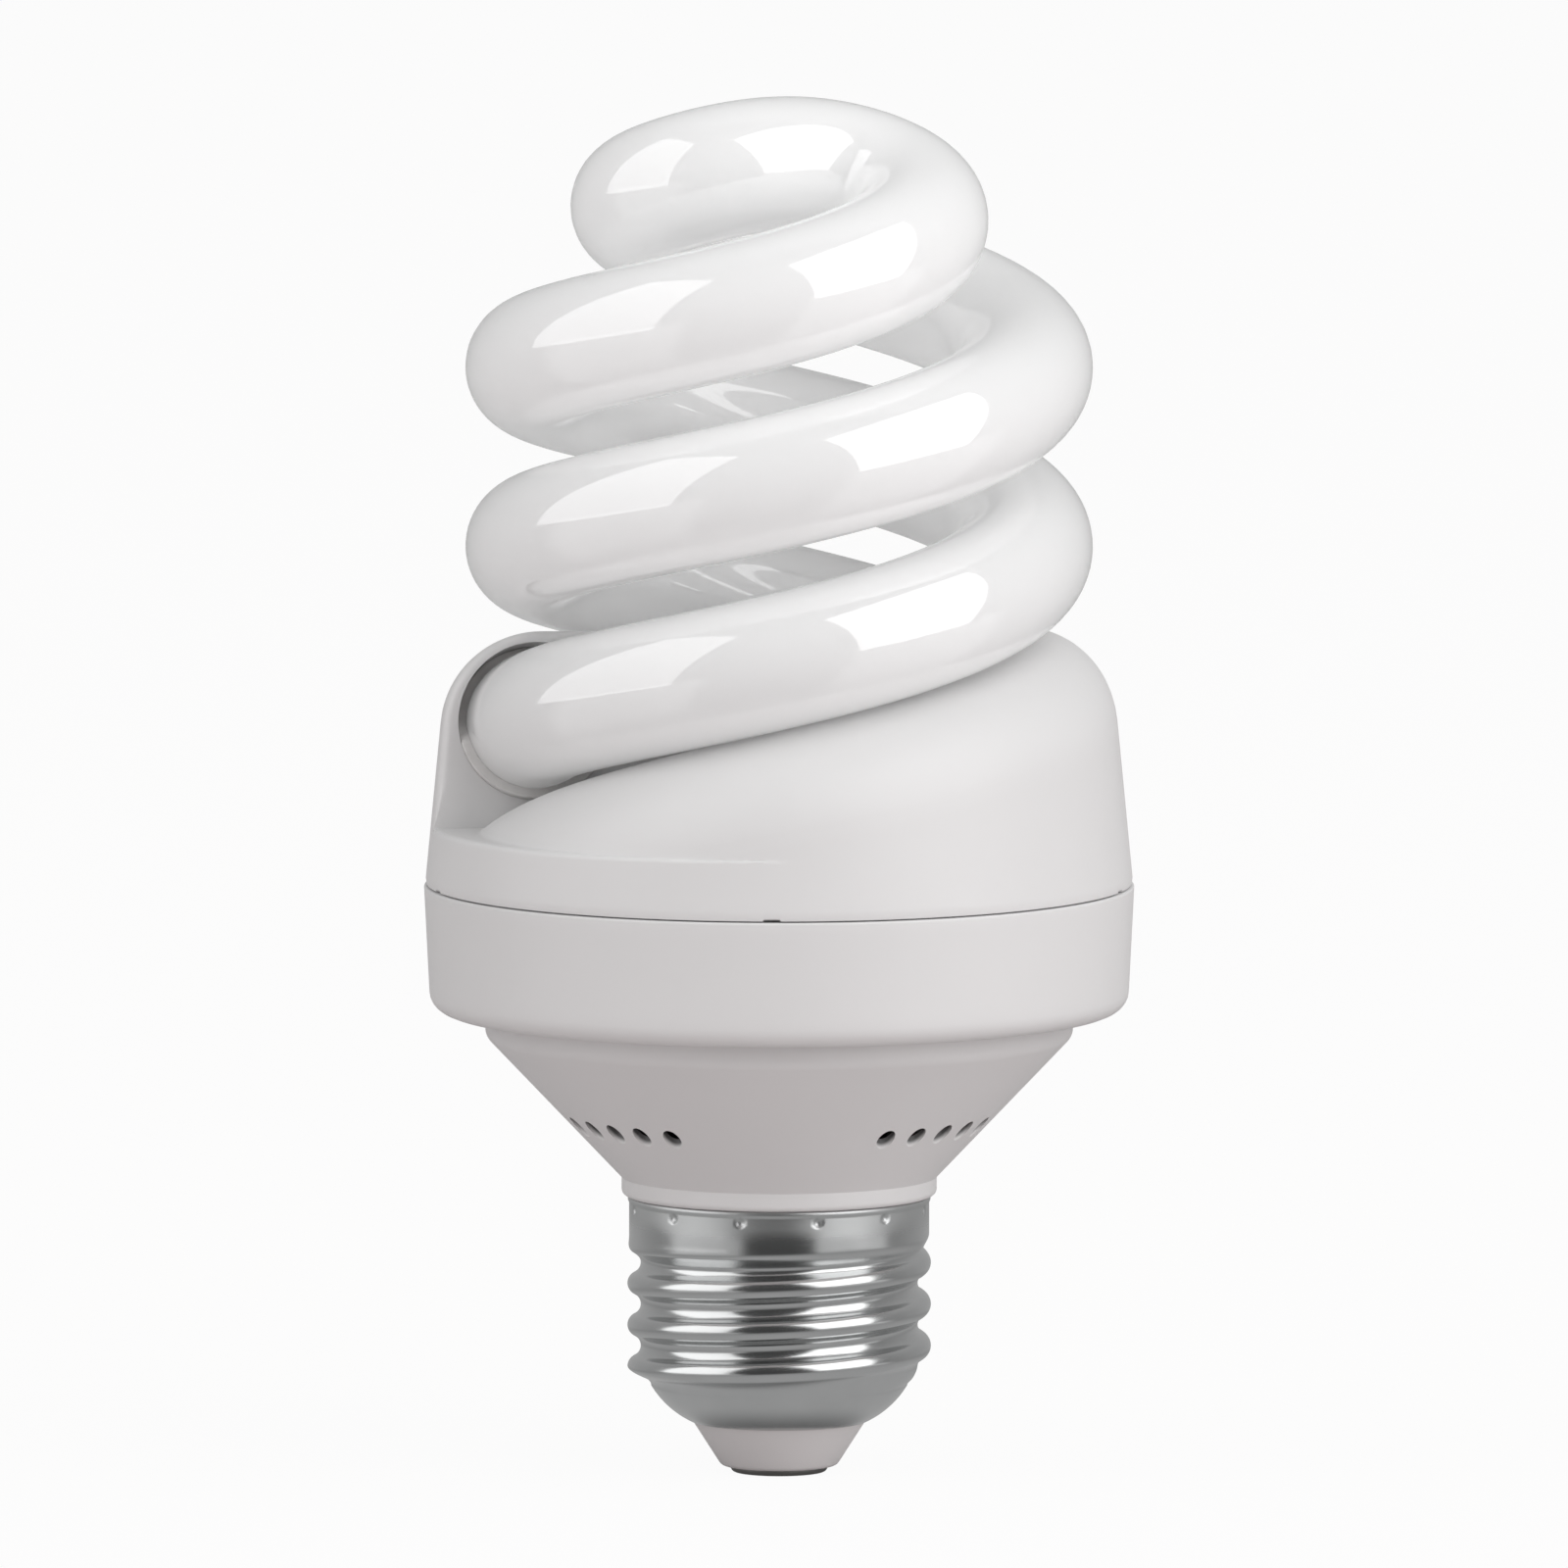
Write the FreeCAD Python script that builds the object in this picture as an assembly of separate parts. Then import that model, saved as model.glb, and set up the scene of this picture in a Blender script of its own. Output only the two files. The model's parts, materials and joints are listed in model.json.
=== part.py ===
import FreeCAD, Part
import math
import os
from FreeCAD import Vector

os.makedirs("parts", exist_ok=True)

# Centre contact: an eyelet riveted through the insulator, its tip at z = 0
contact_d = 8.4
contact_h = 0.55
contact_edge_round = 0.4
eyelet_d = 3.2
eyelet_bore_d = 1.6
eyelet_floor = 1.2
eyelet_lip_d = 4.8
eyelet_lip_h = 0.3

# Cap insulator
insulator_foot_d = 10.0
insulator_h = 3.9
insulator_foot_round = 0.7
insulator_neck_d = 15.0
insulator_flange_d = 17.6
insulator_flange_h = 1.5
insulator_flange_round = 0.3

# Screw shell: rolled sheet with a round Edison thread
shell_wall = 0.35
shell_mouth_d = 15.3
bowl_radius = 8.0
bowl_h = 3.1
bowl_top_d = 22.2
thread_crest_d = 26.3
thread_depth = 1.15
thread_pitch = 3.629
thread_h = 12.6
thread_runout = 1.7
thread_crest_left_z = 12.8
sections_per_turn = 8
collar_d = 26.0
collar_h = 4.0
punch_count = 12
punch_d = 1.1
punch_depth = 0.22
punch_below_rim = 1.0

# Lower housing: neck, neck ring, vented cone and band, moulded in one piece
housing_wall = 1.5
ring_d = 27.3
ring_h = 1.6
ring_round = 0.55
cone_half_angle = 43.6
cone_top_d = 50.9
cone_top_round = 1.4
step_h = 2.05
band_h = 11.0
band_rim_d = 61.5
band_taper = 0.55
band_foot_round = 1.8
seam_edge = 0.2
neck_round = 0.4
step_round = 0.3
inside_round = 0.5
neck_bore_d = 19.4
neck_end_z = 14.0
neck_wire_room = 0.5
vent_d = 1.65
vent_ring_d = 36.8
vent_step_angle = 10.0
vents_per_group = 5
vent_group_angles = (40.0, 140.0, 220.0, 320.0)
rib_count = 6
rib_w = 1.4
rib_reach = 2.6

# Tube holder: drafted cap with two helical ramps that end in the tube sockets
seam_step = 0.1
holder_draft_angle = 5.5
holder_wall = 1.4
ledge_h = 5.25
ramp_low_round = 11.3
ramp_high_round = 8.5
ramp_room = 0.15
ramp_sag = 1.5
ramp_near_angle = 90.0
ramp_overrun = 0.06
ramp_steps = 12
riser_angle = 7.5
hub_d = 17.0
hub_drop = 0.6
rim_room = 2.0
skirt_h = 2.2
skirt_wall = 1.5
skirt_shelf = 1.3
socket_wall = 1.3
socket_sweep_angle = 21.0
socket_end_angle = 2.0
sweep_overrun_angle = 6.0
socket_room = 0.85

# Glass spiral: two strands of one tube, wound right-handed and closed by an S bridge
tube_d = 11.7
coil_inset = 9.37
coil_pitch = 31.15
coil_start_h = 13.85
coil_turn_angle = 360.0
bridge_turn_angle = 200.0
bridge_rise = 17.6
bridge_end_slope = 18.0
bridge_points = 25
tube_tail_angle = 32.0
stem_d = 4.0
stem_l = 4.0
seal_clear = 0.02
same_point = 1e-6
seal_back_angle = -12.0
seal_front_angle = 5.3

# Circuit board and the parts that hang below it
board_t = 1.6
board_room = 0.25
hole_room = 0.15
lead_d = 0.7
lead_tail = 1.2
lead_root = 1.0
part_gap = 1.2
bulk_d = 10.0
bulk_l = 20.0
bulk_round = 0.6
bulk_groove = 0.5
bulk_groove_down = 2.6
bulk_groove_half = 0.6
bulk_groove_round = 0.3
bulk_lead_pitch = 5.0
core_w = 13.0
core_h = 12.4
core_depth = 6.0
core_leg = 2.2
core_centre = 3.2
core_gap = 0.3
bobbin_wall = 0.7
bobbin_flange = 0.9
bobbin_room = 0.15
winding_build = 1.7
winding_round = 1.0
bobbin_foot_h = 0.9
drive_ring_d = 9.4
drive_ring_bar = 4.0
drive_wire_d = 0.6
drive_turns = 4
drive_groups = 3
drive_turn_angle = 17.0
drive_place = (-12.2, 9.4)
film_size = (5.0, 11.0, 10.0)
film_pitch = 7.5
coupling_size = (7.0, 4.0, 7.0)
coupling_pitch = 5.0
part_edge = 0.8
transistor_size = (7.8, 2.7, 10.8)
transistor_stand = 2.0
transistor_pitch = 2.29
transistor_hole_d = 3.0
transistor_inset = 15.2
diode_d = 2.7
diode_l = 5.2
diode_count = 4
diode_row = 3.5
diode_x = 8.2
axial_span = 5.0
axial_edge = 0.35
resistor_d = 2.3
resistor_waist_d = 1.8
resistor_l = 6.3
resistor_side_x = 13.2
fuse_d = 3.0
fuse_l = 7.2
fuse_inset = 10.0
diac_d = 1.9
diac_l = 4.2
diac_x = -5.0
axial_stand = 0.2
drum_d = 6.4
drum_h = 8.0
drum_flange = 1.2
drum_waist_d = 3.2
drum_wire_d = 5.6
drum_edge = 0.3
drum_x = -1.0
disc_d = 6.0
disc_t = 2.4
disc_edge = 0.9
snubber_d = 5.0
post_side = 1.1
post_h = 4.5
post_inset = 5.0
post_angles = (124.0, 141.0)

# Wires
supply_wire_d = 1.0
tube_lead_d = 0.5
tube_lead_gap = 3.0
tube_lead_run = 3.5
tube_lead_bend = 1.6
wire_bend = 0.95
contact_wire_ring_d = 15.0
contact_wire_drop_z = 17.0
contact_wire_bend = 3.5
line_wire_rise = 5.0

# Stations up the axis
up = Vector(0, 0, 1)
axis_point = Vector(0, 0, 0)
mouth_z = contact_h + insulator_h
bowl_top_z = mouth_z + bowl_h
collar_z = bowl_top_z + thread_h
rim_z = collar_z + collar_h
cone_z = rim_z + ring_h
cone_slope = math.tan(math.radians(cone_half_angle))
cone_top_z = cone_z + (cone_top_d - ring_d) / 2 / cone_slope
band_z = cone_top_z + step_h
seam_z = band_z + band_h
ledge_z = seam_z + ledge_h
holder_seam_d = band_rim_d - 2 * seam_step
coil_r = holder_seam_d / 2 - coil_inset
tube_r = tube_d / 2
coil_z = seam_z + coil_start_h
board_top = seam_z - skirt_h
board_z = board_top - board_t
housing_bore_r = band_rim_d / 2 - housing_wall
board_r = housing_bore_r - board_room
post_ring_r = board_r - post_inset
fuse_x = board_r - fuse_inset


def at(r, angle, z):
    a = math.radians(angle)
    return Vector(r * math.cos(a), r * math.sin(a), z)


def bent_wire(points, radii, closed=False):
    """Straight runs through the points, each corner rounded by its radius."""
    count = len(points)
    edges = []
    starts = []
    ends = []
    for i, corner in enumerate(points):
        is_end = not closed and i in (0, count - 1)
        if is_end or radii[i] == 0:
            starts.append(corner)
            ends.append(corner)
            edges.append(None)
            continue
        back = (points[i - 1] - corner).normalize()
        ahead = (points[(i + 1) % count] - corner).normalize()
        half = back.getAngle(ahead) / 2
        reach = radii[i] / math.tan(half)
        middle = (back + ahead).normalize() * (radii[i] / math.sin(half) - radii[i])
        starts.append(corner + back * reach)
        ends.append(corner + ahead * reach)
        edges.append(Part.Arc(starts[i], corner + middle, ends[i]).toShape())
    path = []
    for i in range(count):
        if edges[i] is not None:
            path.append(edges[i])
        last = i == count - 1
        if last and not closed:
            continue
        a = ends[i]
        b = starts[(i + 1) % count]
        if a.distanceToPoint(b) > same_point:
            path.append(Part.LineSegment(a, b).toShape())
    return Part.Wire(path)


def turned(corners):
    """Solid of revolution from (radius, height, corner rounding) points."""
    points = [Vector(c[0], 0, c[1]) for c in corners]
    radii = [c[2] for c in corners]
    face = Part.Face(bent_wire(points, radii, closed=True))
    return face.revolve(axis_point, up, 360)


def disc(r, z, h):
    return Part.makeCylinder(r, h, Vector(0, 0, z))


def rod(a, b, d):
    return Part.makeCylinder(d / 2, a.distanceToPoint(b), a, b - a)


def swept(path, d):
    """Round bar of diameter d along a path of lines and arcs."""
    first = path.OrderedEdges[0]
    start = first.valueAt(first.FirstParameter)
    heading = first.tangentAt(first.FirstParameter)
    if path.OrderedVertexes[0].Point.distanceToPoint(start) > same_point:
        start = first.valueAt(first.LastParameter)
        heading = first.tangentAt(first.LastParameter) * -1
    ring = Part.Wire(Part.makeCircle(d / 2, start, heading))
    return path.makePipeShell([ring], True, False)


def half_turn(shape):
    copy = shape.copy()
    copy.rotate(axis_point, up, 180)
    return copy


def save(name, *solids):
    shape = solids[0] if len(solids) == 1 else Part.makeCompound(list(solids))
    shape.exportStep("parts/" + name + ".step")


# Heights and headings of the first strand, by its angle from the left side of the bulb
def strand_z(turn):
    return coil_z + coil_pitch * turn / 360


def strand_point(turn):
    return at(coil_r, 180 + turn, strand_z(turn))


def strand_heading(turn):
    flat = at(2 * math.pi * coil_r, 270 + turn, 0)
    return (flat + Vector(0, 0, coil_pitch)).normalize()


def strand_bar(d, turn_from, turn_to):
    """Helical bar that follows the first strand between two angles."""
    helix = Part.makeHelix(coil_pitch, coil_pitch * (turn_to - turn_from) / 360, coil_r)
    helix.rotate(axis_point, up, 180 + turn_from)
    helix.translate(Vector(0, 0, strand_z(turn_from)))
    ring = Part.Wire(Part.makeCircle(d / 2, strand_point(turn_from), strand_heading(turn_from)))
    return Part.Wire(helix.Edges).makePipeShell([ring], True, True)


# Glass spiral
def bridge_point(w):
    """S bridge from the first strand (w = 0) over the axis (90) to the second (180)."""
    s = math.sin(math.radians(w))
    start_slope = coil_pitch * bridge_turn_angle / 360
    square = 3 * bridge_rise - 2 * start_slope - bridge_end_slope
    cube = bridge_end_slope + start_slope - 2 * bridge_rise
    z = strand_z(coil_turn_angle) + start_slope * s + square * s ** 2 + cube * s ** 3
    return at(coil_r * math.cos(math.radians(w)), 180 + coil_turn_angle + bridge_turn_angle * s, z)


def make_tube():
    leg = strand_bar(tube_d, -tube_tail_angle, coil_turn_angle)
    curve = Part.BSplineCurve()
    points = [bridge_point(180 * i / (bridge_points - 1)) for i in range(bridge_points)]
    leave = strand_heading(coil_turn_angle)
    arrive = Vector(leave.x, leave.y, -leave.z)
    curve.interpolate(Points=points, InitialTangent=leave, FinalTangent=arrive, Scale=False)
    ring = Part.Wire(Part.makeCircle(tube_r, points[0], leave))
    bridge = Part.Wire(curve.toShape()).makePipeShell([ring], True, False)
    end = strand_point(-tube_tail_angle)
    back = strand_heading(-tube_tail_angle) * -1
    stem = Part.makeCylinder(stem_d / 2, stem_l + tube_r, end - back * tube_r, back)
    leg = leg.fuse(stem)
    return leg.fuse([bridge, half_turn(leg)]).removeSplitter()


# Tube holder
def wall_r(z, inset):
    return holder_seam_d / 2 - inset - (z - seam_z) * math.tan(math.radians(holder_draft_angle))


def ramp_top(turn):
    """Closest to the tube half way up, and falling away from it towards both ends."""
    away = (turn - ramp_near_angle) / ramp_near_angle
    return strand_z(turn) - tube_r - ramp_room - ramp_sag * away ** 2


def ramp_round(turn):
    share = (turn - riser_angle) / 180
    return ramp_low_round + (ramp_high_round - ramp_low_round) * share


def ramp_section(turn, inset):
    """Radial section of a ramp: level top, round shoulder, out past the drafted wall."""
    z = ramp_top(turn) - inset
    r = ramp_round(turn) - inset
    draft = math.radians(holder_draft_angle)
    centre_z = z - r
    centre_r = wall_r(centre_z, inset) - r / math.cos(draft) + ramp_overrun
    foot = seam_z - ramp_low_round
    outside = holder_seam_d / 2 + ramp_low_round
    angle = 180 + turn
    shoulder = at(centre_r, angle, z)
    half = (math.pi / 2 + draft) / 2
    on_arc = at(centre_r + r * math.cos(half), angle, centre_z + r * math.sin(half))
    arc_end = at(centre_r + r * math.cos(draft), angle, centre_z + r * math.sin(draft))
    inner = hub_d / 4
    corners = [at(inner, angle, foot), at(inner, angle, z), shoulder]
    edges = [Part.LineSegment(corners[0], corners[1]).toShape()]
    edges.append(Part.LineSegment(corners[1], corners[2]).toShape())
    edges.append(Part.Arc(shoulder, on_arc, arc_end).toShape())
    beyond = at(outside, angle, arc_end.z)
    below = at(outside, angle, foot)
    edges.append(Part.LineSegment(arc_end, beyond).toShape())
    edges.append(Part.LineSegment(beyond, below).toShape())
    edges.append(Part.LineSegment(below, corners[0]).toShape())
    return Part.Wire(edges)


def holder_body(inset, foot_z, riser_inset):
    """The holder's filled form, shrunk by inset on every side."""
    ramp_end = ramp_top(180 + riser_angle) - inset
    top_z = ramp_end + rim_room
    envelope = Part.makeCone(wall_r(foot_z, inset), wall_r(top_z, inset), top_z - foot_z,
                             Vector(0, 0, foot_z))
    sweep = 180 - riser_inset
    turns = [riser_angle + sweep * i / ramp_steps for i in range(ramp_steps + 1)]
    ramp = Part.makeLoft([ramp_section(turn, inset) for turn in turns], True, False)
    base = disc(holder_seam_d, foot_z, ledge_z - inset - foot_z)
    hub = disc(hub_d / 2 - inset, foot_z, ramp_end - hub_drop - foot_z)
    form = base.fuse([ramp, half_turn(ramp), hub])
    return envelope.common(form)


def make_holder():
    outer = holder_body(0, seam_z, 0)
    riser_inset = math.degrees(holder_wall / coil_r)
    cavity = holder_body(holder_wall, seam_z + skirt_shelf, riser_inset)
    skirt_r = housing_bore_r - board_room
    mouth = disc(skirt_r - skirt_wall, board_top, skirt_h + skirt_shelf)
    skirt = disc(skirt_r, board_top, skirt_h)
    socket_d = tube_d + 2 * socket_room
    back = riser_angle - socket_sweep_angle
    socket = strand_bar(socket_d + 2 * socket_wall, back, riser_angle - socket_end_angle)
    bore = strand_bar(socket_d, back - sweep_overrun_angle, riser_angle + sweep_overrun_angle)
    cavity = cavity.cut([socket, half_turn(socket)])
    holder = outer.fuse(skirt)
    return holder.cut([cavity, mouth, bore, half_turn(bore)]).removeSplitter()


def make_seals():
    grip = tube_d + 2 * seal_clear
    fill = tube_d + 2 * (socket_room - seal_clear)
    ring = strand_bar(fill, seal_back_angle, seal_front_angle)
    back = seal_back_angle - sweep_overrun_angle
    front = seal_front_angle + sweep_overrun_angle
    ring = ring.cut(strand_bar(grip, back, front))
    return ring, half_turn(ring)


# Lower housing
def make_housing():
    ring_r = ring_d / 2
    cone_r = cone_top_d / 2
    neck_r = neck_bore_d / 2
    collar_fit_r = collar_d / 2 - shell_wall - seal_clear
    low_fit_r = thread_crest_d / 2 - thread_depth - shell_wall - neck_wire_room
    slant = housing_wall / math.cos(math.radians(cone_half_angle))
    bore_r = housing_bore_r - band_taper
    shelf_z = band_z + housing_wall
    inner_cone_r = cone_r - housing_wall
    inner_top_z = cone_z + (inner_cone_r + slant - ring_r) / cone_slope
    inner_low_z = cone_z + (neck_r + slant - ring_r) / cone_slope
    body = turned([
        (neck_r, neck_end_z, 0),
        (low_fit_r, neck_end_z, neck_round),
        (low_fit_r, collar_z, 0),
        (collar_fit_r, collar_z, step_round),
        (collar_fit_r, rim_z, 0),
        (ring_r, rim_z, ring_round),
        (ring_r, cone_z, 0),
        (cone_r, cone_top_z, cone_top_round),
        (cone_r, band_z, step_round),
        (band_rim_d / 2 - band_taper, band_z, band_foot_round),
        (band_rim_d / 2, seam_z, seam_edge),
        (housing_bore_r, seam_z, 0),
        (bore_r, shelf_z, inside_round),
        (inner_cone_r, shelf_z, inside_round),
        (inner_cone_r, inner_top_z, inside_round),
        (neck_r, inner_low_z, inside_round),
    ])
    cuts = []
    half_group = vent_step_angle * (vents_per_group - 1) / 2
    for group in vent_group_angles:
        for i in range(vents_per_group):
            spot = at(vent_ring_d / 2, group - half_group + vent_step_angle * i, rim_z)
            cuts.append(Part.makeCylinder(vent_d / 2, shelf_z - rim_z, spot))
    half_groove = supply_wire_d / 2 + hole_room
    groove = Part.makeBox(2 * half_groove, ring_r, collar_z - neck_end_z)
    groove.translate(Vector(-half_groove, line_wire_outer_r() - half_groove, neck_end_z))
    body = body.cut(cuts + [groove])
    ribs = []
    for i in range(rib_count):
        rib = Part.makeBox(rib_reach + housing_wall / 2, rib_w, board_z - shelf_z + housing_wall / 2)
        rib.translate(Vector(housing_bore_r - rib_reach, -rib_w / 2, shelf_z - housing_wall / 2))
        rib.rotate(axis_point, up, 360 / rib_count * (i + 0.5))
        ribs.append(rib)
    return body.fuse(ribs).removeSplitter()


# Screw cap
def make_contact():
    lip_z = insulator_top()
    return turned([
        (0, 0, 0),
        (contact_d / 2, 0, contact_edge_round),
        (contact_d / 2, contact_h, 0),
        (eyelet_d / 2, contact_h, 0),
        (eyelet_d / 2, lip_z, 0),
        (eyelet_lip_d / 2, lip_z, 0),
        (eyelet_lip_d / 2, lip_z + eyelet_lip_h, 0),
        (eyelet_bore_d / 2, lip_z + eyelet_lip_h, 0),
        (eyelet_bore_d / 2, eyelet_floor, 0),
        (0, eyelet_floor, 0),
    ])


def bowl_centre():
    """Centre of the rolled bowl's arc, which passes the top of the bowl and the mouth's edge."""
    a = Vector(shell_mouth_d / 2, mouth_z, 0)
    b = Vector(bowl_top_d / 2, bowl_top_z, 0)
    half = (b - a) * 0.5
    side = Vector(-half.y, half.x, 0).normalize()
    return a + half + side * math.sqrt(bowl_radius ** 2 - half.Length ** 2)


def flange_z():
    """Where the insulator's flange comes to rest inside the bowl."""
    c = bowl_centre()
    r = bowl_radius - shell_wall
    return c.y - math.sqrt(r ** 2 - (insulator_flange_d / 2 - c.x) ** 2) + seal_clear


def insulator_top():
    return flange_z() + insulator_flange_h


def make_insulator():
    seat = flange_z()
    neck_r = insulator_neck_d / 2
    hole_r = eyelet_d / 2 + seal_clear
    return turned([
        (hole_r, contact_h, 0),
        (insulator_foot_d / 2, contact_h, insulator_foot_round),
        (neck_r, mouth_z, 0),
        (neck_r, seat, 0),
        (insulator_flange_d / 2, seat, 0),
        (insulator_flange_d / 2, seat + insulator_flange_h, insulator_flange_round),
        (hole_r, seat + insulator_flange_h, 0),
    ])


def thread_form(inset):
    """Round thread: each level section is a circle whose centre walks round the axis."""
    rings = []
    steps = round(sections_per_turn * thread_h / thread_pitch)
    mean_r = thread_crest_d / 2 - thread_depth / 2
    for i in range(steps + 1):
        z = bowl_top_z + thread_h * i / steps
        low = min(1, (z - bowl_top_z) / thread_runout)
        high = min(1, (collar_z - z) / thread_runout)
        low = low * low * (3 - 2 * low)
        high = high * high * (3 - 2 * high)
        swing = thread_depth / 2 * low * high
        r = mean_r + (bowl_top_d / 2 - mean_r) * (1 - low) + (collar_d / 2 - mean_r) * (1 - high)
        centre = at(swing, 180 + 360 * (z - thread_crest_left_z) / thread_pitch, z)
        rings.append(Part.Wire(Part.makeCircle(r - inset, centre, up)))
    return Part.makeLoft(rings, True, False)


def make_shell():
    c = bowl_centre()
    mouth_r = shell_mouth_d / 2
    top_r = bowl_top_d / 2
    bowl_arc = []
    for r in (bowl_radius, bowl_radius - shell_wall):
        low = Vector(mouth_r, 0, c.y - math.sqrt(r ** 2 - (mouth_r - c.x) ** 2))
        high = Vector(top_r - bowl_radius + r, 0, bowl_top_z)
        start_angle = math.atan2(low.z - c.y, low.x - c.x)
        end_angle = math.atan2(high.z - c.y, high.x - c.x)
        middle = (start_angle + end_angle) / 2
        via = Vector(c.x + r * math.cos(middle), 0, c.y + r * math.sin(middle))
        bowl_arc.append((low, via, high))
    (low, via, high), (in_low, in_via, in_high) = bowl_arc
    edges = [Part.Arc(low, via, high).toShape(),
             Part.LineSegment(high, in_high).toShape(),
             Part.Arc(in_high, in_via, in_low).toShape(),
             Part.LineSegment(in_low, low).toShape()]
    bowl = Part.Face(Part.Wire(edges)).revolve(axis_point, up, 360)
    thread = thread_form(0).cut(thread_form(shell_wall))
    collar = disc(collar_d / 2, collar_z, collar_h).cut(
        disc(collar_d / 2 - shell_wall, collar_z, collar_h))
    punches = []
    ball_r = (punch_d ** 2 / 4 + punch_depth ** 2) / (2 * punch_depth)
    for i in range(punch_count):
        spot = at(collar_d / 2 + ball_r - punch_depth, 360 / punch_count * (i + 0.5),
                  rim_z - punch_below_rim)
        punches.append(Part.makeSphere(ball_r, spot))
    return bowl.fuse([thread, collar]).cut(punches).removeSplitter()


# Circuit board parts: each hangs below the board with its leads through it
drilled = []


def lead(x, y, z, d=lead_d):
    """A straight lead from z up through the board, which gets a hole for it."""
    drilled.append((x, y, d))
    return rod(Vector(x, y, z), Vector(x, y, board_top + lead_tail), d)


def hanging_box(x, y, size, stand):
    w, depth, h = size
    box = Part.makeBox(w, depth, h, Vector(x - w / 2, y - depth / 2, board_z - stand - h))
    return box.makeFillet(part_edge, box.Edges)


def bulk_capacitor():
    low = board_z - bulk_l
    r = bulk_d / 2
    groove_z = board_z - bulk_groove_down
    can = turned([
        (0, low, 0),
        (r, low, bulk_round),
        (r, groove_z - bulk_groove_half, 0),
        (r - bulk_groove, groove_z, bulk_groove_round),
        (r, groove_z + bulk_groove_half, 0),
        (r, board_z, bulk_round),
        (0, board_z, 0),
    ])
    half = bulk_lead_pitch / 2
    root = board_z - lead_root
    return can.fuse([lead(-half, 0, root), lead(half, 0, root)])


choke_x = bulk_d / 2 + part_gap + core_depth / 2 + bobbin_wall + winding_build
core_top = board_z - bobbin_foot_h


def core_half():
    """One E of the choke's core, its legs pointing up, centred on its back's middle."""
    half_h = core_h / 2
    back = Part.makeBox(core_depth, core_w, core_leg, Vector(-core_depth / 2, -core_w / 2, 0))
    legs = []
    for y, w, h in ((-core_w / 2, core_leg, half_h),
                    (core_w / 2 - core_leg, core_leg, half_h),
                    (-core_centre / 2, core_centre, half_h - core_gap / 2)):
        legs.append(Part.makeBox(core_depth, w, h, Vector(-core_depth / 2, y, 0)))
    return back.fuse(legs).removeSplitter()


def choke_parts():
    lower = core_half()
    lower.translate(Vector(choke_x, 0, core_top - core_h))
    upper = core_half()
    upper.rotate(axis_point, Vector(1, 0, 0), 180)
    upper.translate(Vector(choke_x, 0, core_top))
    window_low = core_top - core_h + core_leg + bobbin_room
    window_h = core_h - 2 * core_leg - 2 * bobbin_room
    tube_x = core_depth / 2 + bobbin_room + bobbin_wall
    tube_y = core_centre / 2 + bobbin_room + bobbin_wall
    flange_x = tube_x + winding_build
    flange_y = core_w / 2 - core_leg - bobbin_room

    def block(half_x, half_y, z, h):
        return Part.makeBox(2 * half_x, 2 * half_y, h, Vector(choke_x - half_x, -half_y, z))

    tube = block(tube_x, tube_y, window_low, window_h)
    flanges = [block(flange_x, flange_y, window_low, bobbin_flange),
               block(flange_x, flange_y, window_low + window_h - bobbin_flange, bobbin_flange)]
    hole = block(tube_x - bobbin_wall, tube_y - bobbin_wall, window_low, window_h)
    feet = []
    for side in (-1, 1):
        foot_x = choke_x + side * (core_depth / 2 + bobbin_room + bobbin_wall)
        foot_z = window_low + window_h - bobbin_flange
        foot = Part.makeBox(2 * bobbin_wall, 2 * flange_y, board_z - foot_z)
        foot.translate(Vector(foot_x - bobbin_wall, -flange_y, foot_z))
        feet.append(foot)
        for y in (-flange_y + lead_d, flange_y - lead_d):
            feet.append(lead(foot_x, y, board_z - bobbin_foot_h))
    bobbin = tube.fuse(flanges + feet).cut(hole).removeSplitter()
    coil_z0 = window_low + bobbin_flange + seal_clear
    coil_h = window_h - 2 * bobbin_flange - 2 * seal_clear
    room = tube_x + seal_clear
    winding = block(flange_x - bobbin_room, min(flange_y, tube_y + winding_build) - bobbin_room,
                    coil_z0, coil_h)
    upright = [e for e in winding.Edges if abs(e.tangentAt(e.FirstParameter).z) > 0.5]
    winding = winding.makeFillet(winding_round, upright)
    winding = winding.cut(block(room, tube_y + seal_clear, coil_z0, coil_h))
    return lower, upper, bobbin, winding


drive_bar_r = drive_ring_bar / 2
drive_loop_r = drive_bar_r + drive_wire_d / 2 + seal_clear
drive_at = Vector(*drive_place, board_z - drive_loop_r - drive_wire_d / 2 - axial_stand)


def drive_parts():
    core = Part.makeTorus(drive_ring_d / 2, drive_bar_r, drive_at, up)
    loops = []
    for group in range(drive_groups):
        for turn in range(drive_turns):
            angle = 360 / drive_groups * group + drive_turn_angle * turn
            spot = drive_at + at(drive_ring_d / 2, angle, 0)
            loops.append(Part.makeTorus(drive_loop_r, drive_wire_d / 2, spot, at(1, angle + 90, 0)))
    return core, loops


def boxed_capacitor(x, y, size, pitch, along_x):
    body = hanging_box(x, y, size, 0)
    half = pitch / 2
    dx, dy = (half, 0) if along_x else (0, half)
    top = board_z - part_edge
    return body.fuse([lead(x - dx, y - dy, top), lead(x + dx, y + dy, top)])


def transistor(x, y):
    w, depth, h = transistor_size
    body = hanging_box(x, y, transistor_size, transistor_stand)
    hole_z = board_z - transistor_stand - h + transistor_hole_d
    body = body.cut(rod(Vector(x, y - depth, hole_z), Vector(x, y + depth, hole_z),
                        transistor_hole_d))
    leads = [lead(x + side * transistor_pitch, y, board_z - transistor_stand - lead_root)
             for side in (-1, 0, 1)]
    return body.fuse(leads)


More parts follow.
